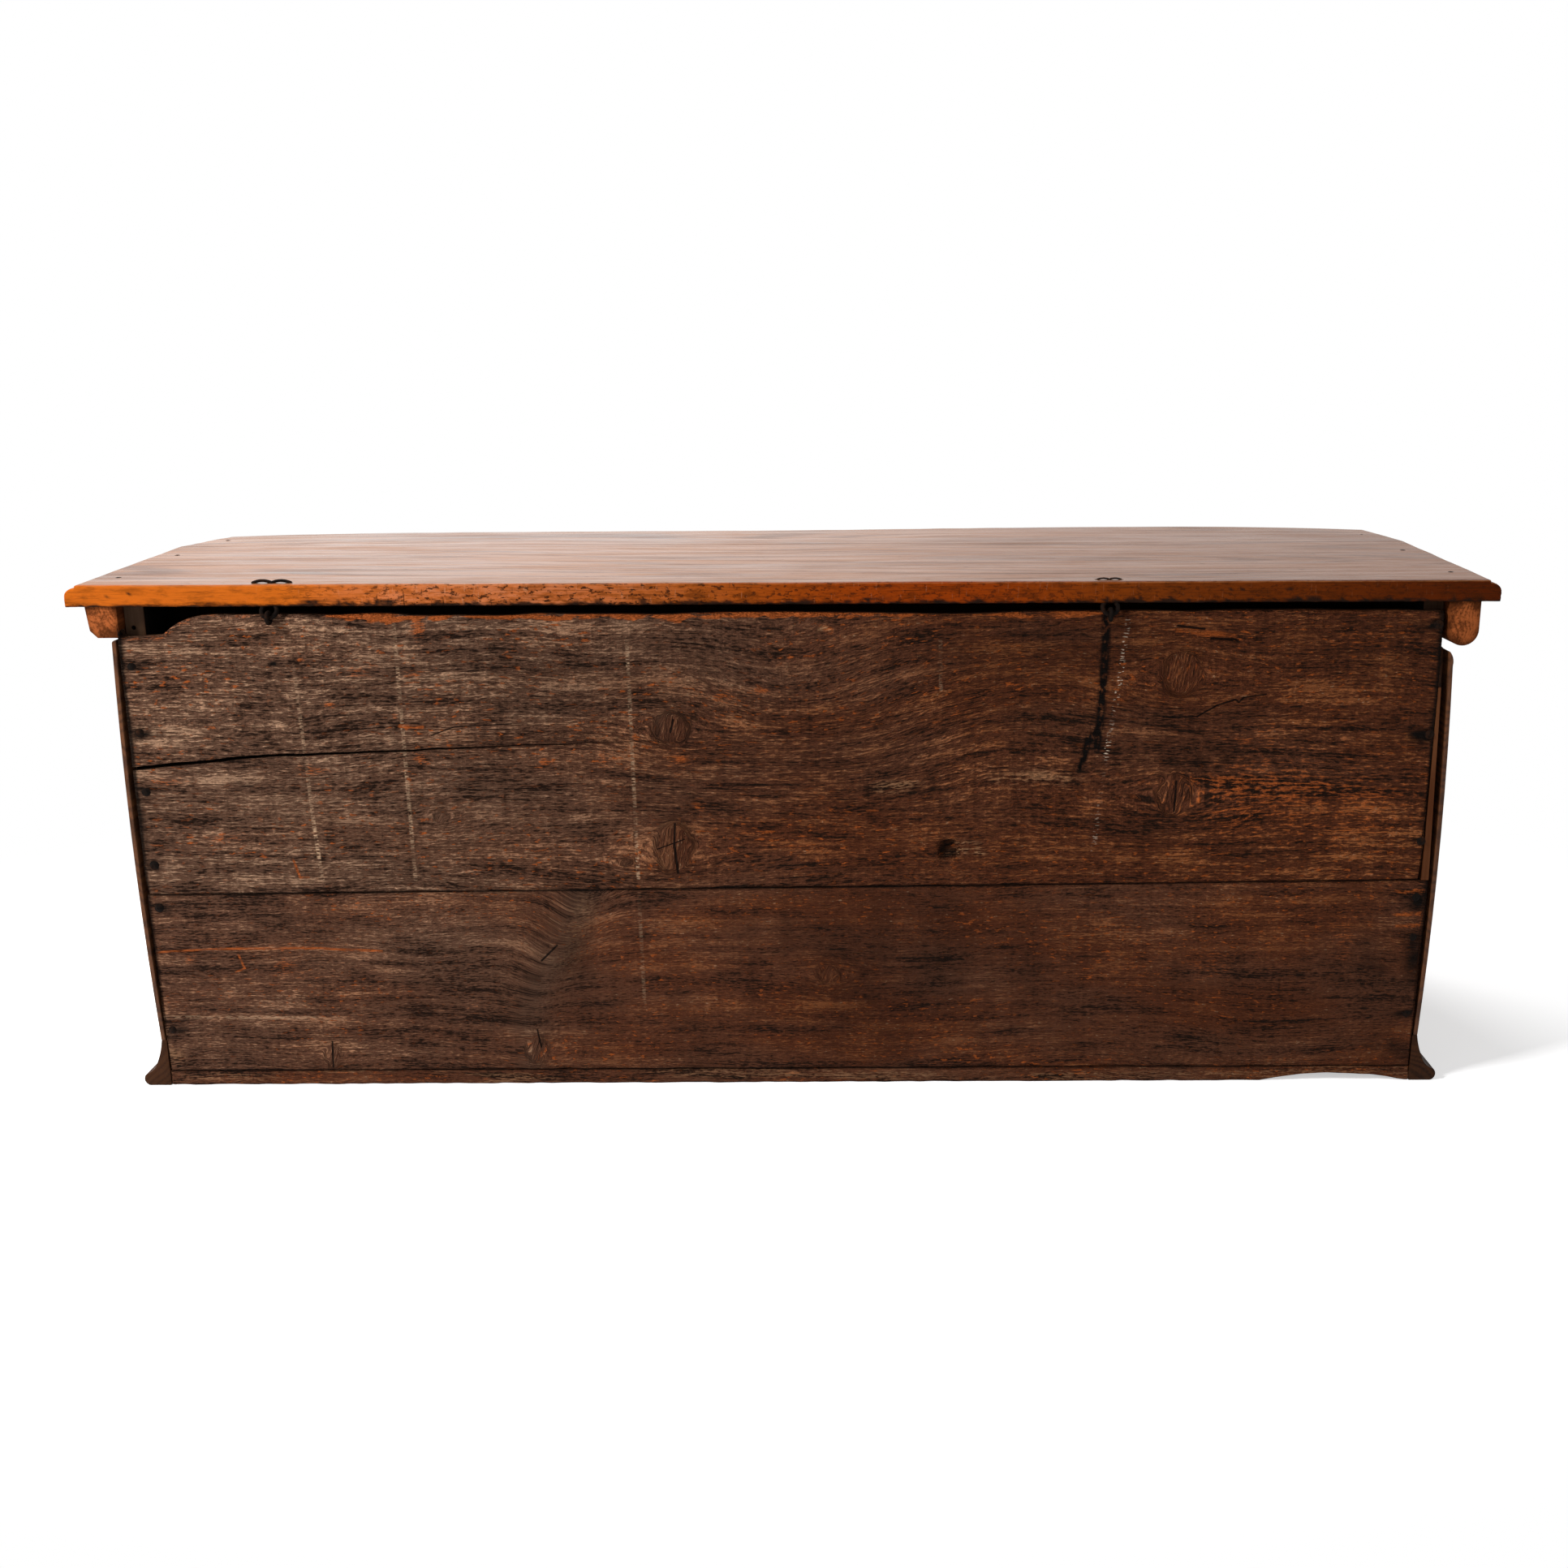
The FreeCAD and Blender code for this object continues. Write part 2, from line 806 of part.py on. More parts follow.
def make_back_eye(place_x):
    """The eye pin in the back board: its eye turns round the hinge axis."""
    place = Vector(place_x, hinge_axis_y, hinge_axis_z)
    along = back_pin_direction()
    start = place + along * back_eye_radius
    end = place + along * ((hinge_axis_y - back_inside) / -along.y)
    return eye_pin(place, Vector(1, 0, 0), place, start, end, Vector(0, -1, 0))


def make_back_eye_slot(place_x):
    """The slot in the back board's top edge that the two linked eyes hang in."""
    half = hinge_wire_radius + eye_slot_clearance
    radius = back_eye_radius + half
    place = Vector(place_x - half, hinge_axis_y, hinge_axis_z)
    slot = Part.makeCylinder(radius, 2 * half, place, Vector(1, 0, 0))
    way_in = board(
        (place_x - half, place_x + half),
        (hinge_axis_y - radius, hinge_axis_y),
        (hinge_axis_z, hinge_axis_z + overrun),
    )
    return slot.fuse(way_in)


# Drawers

def drawer_ends(hand):
    """The outer and inner limits of one drawer along X."""
    return (hand * (opening_outer - drawer_reveal), hand * (opening_inner + drawer_reveal))


def drawer_base():
    """The height of a drawer's lower edge."""
    return rail_top_height + drawer_rest_gap


def tail_faces(shoulder, reach, low, high):
    """Dovetails seen from the side, from a shoulder along Y, shared out between two heights."""
    pitch = (high - low) / drawer_tail_count
    end_half = pitch * drawer_tail_share / 2
    root_half = end_half - abs(reach) * math.tan(math.radians(drawer_tail_slope_deg))
    faces = []
    for index in range(drawer_tail_count):
        middle = low + pitch * (index + 0.5)
        faces.append(
            face_of(
                endways,
                (shoulder, middle - root_half),
                ((shoulder + reach, middle - end_half),),
                ((shoulder + reach, middle + end_half),),
                ((shoulder, middle + root_half),),
            )
        )
    return faces


def make_drawer_tails(x_ends):
    """All the dovetails of one drawer side, as separate solids."""
    groove_top = drawer_base() + drawer_groove_height + drawer_bottom_thickness
    low = groove_top + drawer_tail_margin
    high = drawer_base() + drawer_side_height - drawer_back_drop - drawer_tail_margin
    front_shoulder = front_face + drawer_front_thickness
    back_shoulder = front_face + drawer_length - drawer_back_thickness
    faces = tail_faces(front_shoulder, drawer_tail_lap - drawer_front_thickness, low, high)
    faces += tail_faces(back_shoulder, drawer_back_thickness, low, high)
    return [run_x(face, min(x_ends), max(x_ends)) for face in faces]


def make_drawer_bottom(hand):
    """The thin bottom, held in grooves in the front and both sides, and running under the back."""
    outer, inner = drawer_ends(hand)
    inset = drawer_side_thickness - drawer_groove_depth
    low = drawer_base() + drawer_groove_height
    return board(
        (outer - hand * inset, inner + hand * inset),
        (front_face + drawer_front_thickness - drawer_groove_depth, front_face + drawer_length),
        (low, low + drawer_bottom_thickness),
    )


def make_drawer(hand, name):
    """The boards of one drawer, dovetailed at all four corners."""
    outer, inner = drawer_ends(hand)
    base = drawer_base()
    outer_side = (outer, outer - hand * drawer_side_thickness)
    inner_side = (inner, inner + hand * drawer_side_thickness)
    outer_tails = make_drawer_tails(outer_side)
    inner_tails = make_drawer_tails(inner_side)
    bottom = make_drawer_bottom(hand)
    side_depths = (front_face + drawer_front_thickness, front_face + drawer_length - drawer_back_thickness)

    front = board(
        (outer, inner),
        (front_face, front_face + drawer_front_thickness),
        (rail_top_height + drawer_reveal, drawer_opening_top - drawer_reveal),
    )
    back = board(
        (outer, inner),
        (side_depths[1], front_face + drawer_length),
        (base + drawer_groove_height + drawer_bottom_thickness, base + drawer_side_height - drawer_back_drop),
    )
    knob_places = [between(outer, inner, share) for share in (knob_place_share, 1 - knob_place_share)]
    knobs = [make_knob(place) for place in knob_places]
    made = {
        f"{name}_front": without(front, outer_tails + inner_tails + [bottom] + knobs),
        f"{name}_back": without(back, outer_tails + inner_tails),
        f"{name}_bottom": bottom,
        f"{name}_knobs": Part.makeCompound(knobs),
    }
    for side_name, x_ends, tails in (("outer", outer_side, outer_tails), ("inner", inner_side, inner_tails)):
        side = board(x_ends, side_depths, (base, base + drawer_side_height))
        made[f"{name}_{side_name}_side"] = side.multiFuse(tails).removeSplitter().cut(bottom)
    return made


def make_knob(place_x):
    """A turned mushroom knob whose tenon goes through the drawer front."""
    height = rail_top_height + drawer_opening_height / 2
    root = front_face + drawer_front_thickness
    flange = front_face - knob_flange_thickness
    neck_end = front_face - knob_neck_length
    tip = front_face - knob_reach
    neck = (between(flange, neck_end, 0.5), height + knob_neck_radius)
    belly = between(neck_end, tip + knob_crown_height, 0.5)
    shoulder = tip + knob_crown_height
    crown_radius = (knob_flange_radius ** 2 + knob_crown_height ** 2) / (2 * knob_crown_height)
    crown_half = knob_flange_radius / 2
    crown = tip + crown_radius - math.sqrt(crown_radius ** 2 - crown_half ** 2)
    face = face_of(
        endways,
        (root, height),
        ((root, height + knob_tenon_radius),),
        ((front_face, height + knob_tenon_radius),),
        ((front_face, height + knob_flange_radius),),
        ((flange, height + knob_flange_radius),),
        (neck, (neck_end, height + knob_flange_radius)),
        ((belly, height + knob_radius), (shoulder, height + knob_flange_radius)),
        ((crown, height + crown_half), (tip, height)),
    )
    knob = face.revolve(Vector(0, root, height), Vector(0, 1, 0), FULL_TURN_DEG)
    knob.translate(Vector(place_x, 0, 0))
    return knob


# Nails

def make_back_nails():
    """Nails through both back boards into the end boards."""
    spans = (
        (LEFT, back_joint_height_left, back_top, left_upper_nail_shares),
        (LEFT, bottom_top, back_joint_height_left, left_lower_nail_shares),
        (RIGHT, back_joint_height_right, back_top - break_depth, right_upper_nail_shares),
        (RIGHT, bottom_top, back_joint_height_right, right_lower_nail_shares),
    )
    places = [
        Vector(hand * (half_width - back_nail_inset), back_face, between(low, high, share))
        for hand, low, high, shares in spans
        for share in shares
    ]
    return nails_at(places, Vector(0, -1, 0))


def make_front_nails():
    """Nails through the front board into the end boards."""
    heights = [between(drawer_opening_top, carcass_height, share) for share in front_nail_shares]
    places = [
        Vector(hand * (half_width - back_nail_inset), front_face, height)
        for hand in (LEFT, RIGHT)
        for height in heights
    ]
    return nails_at(places, Vector(0, 1, 0))


def make_bottom_nails():
    """Nails up through the bottom board into the end boards, their heads flush underneath."""
    places = [
        Vector(hand * (half_width - back_nail_inset), between(front_inside, back_inside, share), 0)
        for hand in (LEFT, RIGHT)
        for share in bottom_nail_shares
    ]
    return [sunk_nail(place, Vector(0, 0, 1)) for place in places]


def make_cleat_nails():
    """Nails down through the lid into the cleats."""
    middle = half_width + cleat_clearance + cleat_width / 2
    depths = [between(lid_front + cleat_front_setback, back_face, share) for share in cleat_nail_shares]
    places = [
        Vector(hand * middle, depth, lid_under(depth, middle) + lid_thickness)
        for hand in (LEFT, RIGHT)
        for depth in depths
    ]
    return nails_at(places, Vector(0, 0, -1))


def make_chest():
    """Every piece of the chest by name."""
    pieces = {}
    back_nails = make_back_nails()
    front_nails = make_front_nails()
    bottom_nails = make_bottom_nails()
    cleat_nails = make_cleat_nails()
    hinge_places = {"left": left_hinge_inset - half_width, "right": half_width - right_hinge_inset}
    lid_eyes = {name: make_lid_eye(place) for name, place in hinge_places.items()}
    back_eyes = {name: make_back_eye(place) for name, place in hinge_places.items()}
    lid_slots = [make_lid_eye_slot(place) for place in hinge_places.values()]
    back_slots = [make_back_eye_slot(place) for place in hinge_places.values()]

    for name, hand in (("left", LEFT), ("right", RIGHT)):
        side = without(make_side_board(hand), back_nails + front_nails + bottom_nails)
        pieces[f"side_board_{name}"] = side.cut(make_old_nail_hole(hand)) if hand == RIGHT else side
        pieces[f"side_facing_{name}"] = make_side_facing(hand)
        pieces[f"base_moulding_{name}"] = make_base_moulding_side(hand)
        pieces[f"front_stile_{name}"] = make_front_stile(hand)
        pieces[f"drawer_runner_{name}_outer"] = make_runner(hand, side_inside, opening_outer)
        pieces[f"drawer_runner_{name}_inner"] = make_runner(hand, partition_thickness / 2, opening_inner)
        pieces[f"hinge_lid_eye_{name}"] = lid_eyes[name]
        pieces[f"hinge_back_eye_{name}"] = back_eyes[name]
        pieces.update(make_drawer(hand, f"drawer_{name}"))

    upper_cutters = back_nails + back_slots + list(back_eyes.values())
    pieces["back_board_upper"] = without(make_upper_back_board(), upper_cutters)
    pieces["back_board_lower"] = without(make_lower_back_board(), back_nails)
    pieces["back_filler_strip"] = make_back_filler()
    pieces["bottom_board"] = without(make_bottom_board(), bottom_nails)
    pieces["well_floor"] = make_well_floor()
    pieces["drawer_partition"] = make_partition()
    pieces["front_board"] = without(make_front_board(), front_nails)
    pieces["front_bottom_rail"] = make_bottom_rail()
    pieces["front_muntin"] = make_muntin()
    pieces["base_moulding_front"] = make_base_moulding_front()

    lid_cutters = lid_slots + list(lid_eyes.values()) + cleat_nails
    pieces["lid_board_back"] = without(make_lid_board_back(), lid_cutters)
    pieces["lid_board_front"] = without(make_lid_board_front(), cleat_nails)
    pieces["lid_cleat_right"] = without(make_right_cleat(), cleat_nails)
    pieces["lid_cleat_left"] = without(make_left_cleat(), cleat_nails)

    pieces["back_nails"] = Part.makeCompound(back_nails)
    pieces["front_nails"] = Part.makeCompound(front_nails)
    pieces["bottom_nails"] = Part.makeCompound(bottom_nails)
    pieces["lid_cleat_nails"] = Part.makeCompound(cleat_nails)
    return pieces


def main():
    os.makedirs("parts", exist_ok=True)
    for name, shape in make_chest().items():
        if not shape.isValid():
            raise ValueError(f"{name} is not a valid shape")
        shape.exportStep(os.path.join("parts", f"{name}.step"))
        print(f"{name}: {len(shape.Solids)} solids, {shape.Volume:.0f} mm3")


main()
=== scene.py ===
"""Looks of the mule chest: boards, mouldings, drawers, ironwork and the studio they stand in."""

import math

import bpy
import numpy as np
from bpy.props import FloatProperty, FloatVectorProperty, PointerProperty
from mathutils import Matrix, Vector
from mathutils.bvhtree import BVHTree


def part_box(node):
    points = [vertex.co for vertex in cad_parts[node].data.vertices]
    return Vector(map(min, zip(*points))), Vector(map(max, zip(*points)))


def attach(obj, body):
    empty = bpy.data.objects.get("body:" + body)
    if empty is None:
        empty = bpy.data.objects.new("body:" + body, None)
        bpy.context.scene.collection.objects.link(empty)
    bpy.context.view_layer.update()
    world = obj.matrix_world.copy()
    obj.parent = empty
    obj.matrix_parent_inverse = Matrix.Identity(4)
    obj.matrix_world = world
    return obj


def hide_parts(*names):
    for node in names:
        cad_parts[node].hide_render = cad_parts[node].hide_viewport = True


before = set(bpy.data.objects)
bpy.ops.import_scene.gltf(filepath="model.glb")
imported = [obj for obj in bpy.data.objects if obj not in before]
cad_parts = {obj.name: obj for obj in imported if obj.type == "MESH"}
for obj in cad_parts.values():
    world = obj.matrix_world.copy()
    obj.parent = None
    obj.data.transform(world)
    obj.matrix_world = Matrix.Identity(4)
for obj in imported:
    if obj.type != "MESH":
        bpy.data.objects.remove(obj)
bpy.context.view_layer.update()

bl_info = {
    "name": "Mule chest",
    "version": (1, 0, 0),
    "blender": (4, 5, 0),
    "location": "View3D > Sidebar > Mule chest",
    "description": "Builds the boards, mouldings, drawers and ironwork of a mule chest on its CAD frame",
    "category": "Add Mesh",
}


def colour_property(name, description, default):
    """A colour that the user can change."""
    return FloatVectorProperty(
        name=name, description=description, default=default, subtype="COLOR", size=3, min=0, max=1
    )


def length_property(name, description, default):
    """A length in metres that the user can change."""
    return FloatProperty(name=name, description=description, default=default, unit="LENGTH", precision=4)


class BackSettings(bpy.types.PropertyGroup):
    """Sizes and colours of the weathered back."""

    grain_depth: length_property("Grain depth", "Height of the raised grain on the back boards", 0.0008)
    crack_depth: length_property("Crack depth", "Depth of the drying crack in the upper board", 0.012)
    edge_wear: length_property("Edge wear", "Rounding of the boards' edges", 0.0022)
    fibre: colour_property("Fibre", "Pale, dry fibres that stand proud", (0.415, 0.242, 0.148))
    wood: colour_property("Grey wood", "Greyed brown wood between the fibres", (0.124, 0.0610, 0.0372))
    warm_fibre: colour_property(
        "Warm fibre", "Orange brown fibres of the less weathered wood", (0.41, 0.138, 0.046)
    )
    warm_wood: colour_property("Warm wood", "Red brown wood between them", (0.102, 0.0300, 0.0128))
    hollow: colour_property("Hollow", "Dark wood in the hollows of the grain", (0.017, 0.0082, 0.0050))
    fresh: colour_property("Fresh wood", "Orange wood laid bare by scratches and wear", (0.40, 0.094, 0.021))


class LidSettings(bpy.types.PropertyGroup):
    """Sizes and colours of the lid and its cleats."""

    edge_wear: length_property("Edge wear", "Rounding of the lid's edges", 0.0022)
    dent_depth: length_property("Dent depth", "Depth of the dents and hollows in the top", 0.0003)
    light: colour_property("Light walnut", "Light bands of the lid's figure", (0.38, 0.180, 0.095))
    dark: colour_property("Dark walnut", "Dark bands of the lid's figure", (0.10, 0.038, 0.017))
    edge: colour_property("Back edge", "Bright orange wax on the lid's back edge", (0.53, 0.118, 0.009))
    # The back edge goes from this colour at -X to the bright one at +X, partly its own colour and partly painted
    # light.
    old_and_shaded_edge: colour_property("Old back edge", "Deep brown of the back edge's other end", (0.070, 0.0105, 0.0010))
    cleat: colour_property("Cleat wood", "Dull wood of the cleats", (0.34, 0.090, 0.024))


class CaseSettings(bpy.types.PropertyGroup):
    """Sizes and colours of the front, ends, drawers and inside."""

    edge_wear: length_property("Edge wear", "Rounding of the front's edges", 0.0014)
    front_light: colour_property("Front light", "Light bands of the front's walnut", (0.165, 0.056, 0.019))
    front_dark: colour_property("Front dark", "Dark bands of the front's walnut", (0.050, 0.0165, 0.0066))
    trim_light: colour_property("Trim light", "Light bands of the facings and base moulding", (0.120, 0.045, 0.018))
    trim_dark: colour_property("Trim dark", "Dark bands of the facings and base moulding", (0.032, 0.013, 0.007))
    inside: colour_property("Inside wood", "Dry wood of the inside and drawer boxes", (0.30, 0.170, 0.085))
    filler: colour_property("Filler wood", "Paler slip at the end of the upper back board", (0.12, 0.042, 0.015))
    iron: colour_property("Iron", "Dull wrought iron of the hinges and nails", (0.0065, 0.0045, 0.0036))


class StageSettings(bpy.types.PropertyGroup):
    """Camera, lights and floor."""

    lens: FloatProperty(name="Lens", description="Focal length of the camera", default=38.59, unit="CAMERA")
    tilt: FloatProperty(
        name="Tilt", description="How far the camera looks down", default=math.radians(14.5), subtype="ANGLE"
    )
    roll: FloatProperty(
        name="Roll", description="Turn of the camera about its own line", default=math.radians(-0.24),
        subtype="ANGLE"
    )
    key_power: FloatProperty(name="Key light", description="Power of the main light", default=105.0, unit="POWER")
    fill_power: FloatProperty(name="Fill light", description="Power of the fill light", default=9.0, unit="POWER")
    sky: FloatProperty(name="Sky light", description="Light that comes from all round", default=0.30, min=0)
    floor: colour_property("Floor", "Pale floor", (0.86, 0.86, 0.86))


# Mesh helpers: every board starts as a box that is cut across and then shaped point by point.


def deselect_all():
    """Leaves nothing selected, in object mode."""
    if bpy.context.object and bpy.context.object.mode != "OBJECT":
        bpy.ops.object.mode_set(mode="OBJECT")
    bpy.ops.object.select_all(action="DESELECT")


def points_of(piece):
    """All points of a piece as rows of X, Y and Z."""
    flat = np.empty(len(piece.data.vertices) * 3)
    piece.data.vertices.foreach_get("co", flat)
    return flat.reshape(-1, 3)


def set_points(piece, points):
    """Puts a piece's points back."""
    piece.data.vertices.foreach_set("co", np.ascontiguousarray(points, dtype=np.float32).ravel())
    piece.data.update()


def set_values(piece, name, values):
    """Gives every point of a piece a value, a colour or a place that its material reads by name."""
    values = np.ascontiguousarray(values, dtype=np.float32)
    kind, field = ("FLOAT", "value") if values.ndim == 1 else ("FLOAT_VECTOR", "vector")
    layer = piece.data.attributes.new(name, kind, "POINT")
    layer.data.foreach_set(field, values.ravel())


# An edge is cut into at most so many parts in one pass; a longer row is made up to a number that passes can share.
MOST_PARTS, SHARED_PARTS = 100, 20


def cut_places(low, high, step, near=(0.0007, 0.0018, 0.0036, 0.006)):
    """Places of the cuts between two limits: even, with closer ones beside both limits."""
    near = [0.0] + [gap for gap in near if 2 * gap < high - low - 0.001]
    start, end = low + near[-1], high - near[-1]
    count = max(1, round((end - start) / step))
    total = count + 2 * (len(near) - 1)
    if total > MOST_PARTS:
        count += -total % SHARED_PARTS
    middle = np.linspace(start, end, count + 1)
    return np.concatenate([[low + gap for gap in near[:-1]], middle, [high - gap for gap in near[-2::-1]]])


def cut_passes(count):
    """Numbers of pieces to cut an edge into, one pass after another."""
    if count <= MOST_PARTS:
        return [count] if count > 1 else []
    first = max(part for part in range(2, MOST_PARTS + 1) if count % part == 0)
    return [first] + cut_passes(count // first)


def select_edges_along(piece, axis):
    """Selects the edges of a piece that run along one axis, in edit mode."""
    bpy.ops.object.mode_set(mode="OBJECT")
    mesh = piece.data
    ends = np.empty(len(mesh.edges) * 2, dtype=int)
    mesh.edges.foreach_get("vertices", ends)
    points = points_of(piece)[ends.reshape(-1, 2)]
    run = np.abs(points[:, 1] - points[:, 0])
    mesh.vertices.foreach_set("select", np.zeros(len(mesh.vertices), dtype=bool))
    mesh.polygons.foreach_set("select", np.zeros(len(mesh.polygons), dtype=bool))
    mesh.edges.foreach_set("select", run[:, axis] > 0.5 * run.max(axis=1))
    bpy.ops.object.mode_set(mode="EDIT")


def cut_board(name, places):
    """A board between the first and last places along X, Y and Z, cut across at all of them."""
    deselect_all()
    low = np.array([line[0] for line in places])
    size = np.array([line[-1] for line in places]) - low
    bpy.ops.mesh.primitive_cube_add(size=1, location=low + size / 2, scale=size)
    piece = bpy.context.object
    piece.name = piece.data.name = name
    bpy.ops.object.transform_apply(location=True, rotation=True, scale=True)
    bpy.ops.object.mode_set(mode="EDIT")
    bpy.ops.mesh.select_mode(type="EDGE")
    for axis, line in enumerate(places):
        for parts in cut_passes(len(line) - 1):
            select_edges_along(piece, axis)
            bpy.ops.mesh.subdivide(number_cuts=parts - 1)
    bpy.ops.object.mode_set(mode="OBJECT")
    share = (points_of(piece) - low) / size
    cuts = [np.rint(share[:, axis] * (len(places[axis]) - 1)).astype(int) for axis in range(3)]
    set_points(piece, np.stack([places[axis][cuts[axis]] for axis in range(3)], axis=1))
    return piece


# Large numbers that scatter the values at the corners of the noise's cells.
HASH_ACROSS, HASH_ALONG, HASH_SEED = 374761393, 668265263, 144269504
HASH_MIX, HASH_MASK = 1274126177, 0x7FFFFFFF


def noise(across, along, seed):
    """Smooth uneven values from -1 to 1 over a sheet, the same in every run."""
    across, along = np.broadcast_arrays(np.asarray(across, float), np.asarray(along, float))
    cell_a, cell_b = np.floor(across).astype(np.int64), np.floor(along).astype(np.int64)
    part_a, part_b = across - cell_a, along - cell_b
    part_a, part_b = part_a * part_a * (3 - 2 * part_a), part_b * part_b * (3 - 2 * part_b)

    def corner(step_a, step_b):
        mixed = (cell_a + step_a) * HASH_ACROSS + (cell_b + step_b) * HASH_ALONG + seed * HASH_SEED
        mixed = mixed & HASH_MASK
        mixed = ((mixed ^ (mixed >> 13)) * HASH_MIX) & HASH_MASK
        return ((mixed ^ (mixed >> 16)) & 0xFFFF) / 32767.5 - 1

    low = corner(0, 0) * (1 - part_a) + corner(1, 0) * part_a
    high = corner(0, 1) * (1 - part_a) + corner(1, 1) * part_a
    return low * (1 - part_b) + high * part_b


def smooth_step(value, low, high):
    """0 below one limit, 1 above the other, and a soft slope between."""
    share = np.clip((value - low) / (high - low), 0, 1)
    return share * share * (3 - 2 * share)


def spot(x, z, place_x, place_z, half_x, half_z):
    """1 in the middle of an oval, fading to 0 round it."""
    return np.exp(-(((x - place_x) / half_x) ** 2) - ((z - place_z) / half_z) ** 2)


def add_spots(values, x, z, spots):
    """Values with ovals added to them, each with its own share."""
    for *oval, share in spots:
        values = values + share * spot(x, z, *oval)
    return values


def near_line(x, z, path, width):
    """1 on a line through the given places, fading to 0 beside it."""
    nearest = np.full(x.shape, 1e9)
    for (start_x, start_z), (end_x, end_z) in zip(path, path[1:]):
        run_x, run_z = end_x - start_x, end_z - start_z
        share = np.clip(((x - start_x) * run_x + (z - start_z) * run_z) / (run_x**2 + run_z**2), 0, 1)
        nearest = np.minimum(nearest, np.hypot(x - start_x - share * run_x, z - start_z - share * run_z))
    return np.exp(-((nearest / width) ** 2))


def edge_gap(points, low, high):
    """How far each point of a board's surface is from the nearest edge."""
    gaps = np.concatenate([points - low, high - points], axis=1)
    return np.sort(gaps, axis=1)[:, 1]


def ease_edges(points, low, high, radius):
    """Rounds the edges of a board; the radius may change from point to point."""
    radius = np.broadcast_to(radius, points.shape[0])
    for axis_a, axis_b in ((0, 1), (0, 2), (1, 2)):
        for end_a, way_a in ((low[axis_a], 1), (high[axis_a], -1)):
            for end_b, way_b in ((low[axis_b], 1), (high[axis_b], -1)):
                reach_a = radius - (points[:, axis_a] - end_a) * way_a
                reach_b = radius - (points[:, axis_b] - end_b) * way_b
                near = (reach_a > 0) & (reach_b > 0)
                share = np.maximum(reach_a, reach_b) / np.maximum(np.hypot(reach_a, reach_b), 1e-9)
                points[near, axis_a] = (end_a + way_a * (radius - reach_a * share))[near]
                points[near, axis_b] = (end_b + way_b * (radius - reach_b * share))[near]
    return points


def finish_piece(piece, material, body, slot, *nodes, smooth=50):
    """Gives a piece its material, soft shading, the body it moves with and the nodes it stands for."""
    deselect_all()
    piece.select_set(True)
    bpy.context.view_layer.objects.active = piece
    bpy.ops.object.shade_smooth_by_angle(angle=math.radians(smooth))
    piece.data.materials.clear()
    piece.data.materials.append(material)
    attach(piece, body)
    if nodes:
        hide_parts(*nodes)
    deselect_all()


def dress_nodes(material, *nodes):
    """Gives CAD nodes that keep their shape a better material."""
    for name in nodes:
        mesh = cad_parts[name].data
        mesh.materials.clear()
        mesh.materials.append(material)


def welded_copy(node, ending, gap):
    """A copy of a CAD node with its split points joined, all of it selected in edit mode."""
    deselect_all()
    piece = bpy.data.objects.new(node + ending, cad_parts[node].data.copy())
    bpy.context.collection.objects.link(piece)
    piece.select_set(True)
    bpy.context.view_layer.objects.active = piece
    bpy.ops.object.mode_set(mode="EDIT")
    bpy.ops.mesh.select_all(action="SELECT")
    bpy.ops.mesh.remove_doubles(threshold=gap)
    return piece


def eased_copy(node, width, segments=2):
    """A copy of a CAD node with its edges rounded."""
    piece = welded_copy(node, "_eased", 0.00002)
    bpy.ops.mesh.dissolve_limited(angle_limit=math.radians(0.4))
    bpy.ops.object.mode_set(mode="OBJECT")
    bevel = piece.modifiers.new("Eased edges", "BEVEL")
    bevel.width = width
    bevel.segments = segments
    bevel.limit_method = "ANGLE"
    bevel.angle_limit = math.radians(40)
    bevel.use_clamp_overlap = True
    bpy.ops.object.modifier_apply(modifier=bevel.name)
    set_points(piece, np.clip(points_of(piece), *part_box(node)))
    return piece


def ray_tree(mesh):
    """A mesh in a form that looks along a line can meet."""
    return BVHTree.FromPolygons([point.co for point in mesh.vertices], [face.vertices for face in mesh.polygons])


# Material helpers: node trees are written through one small class.


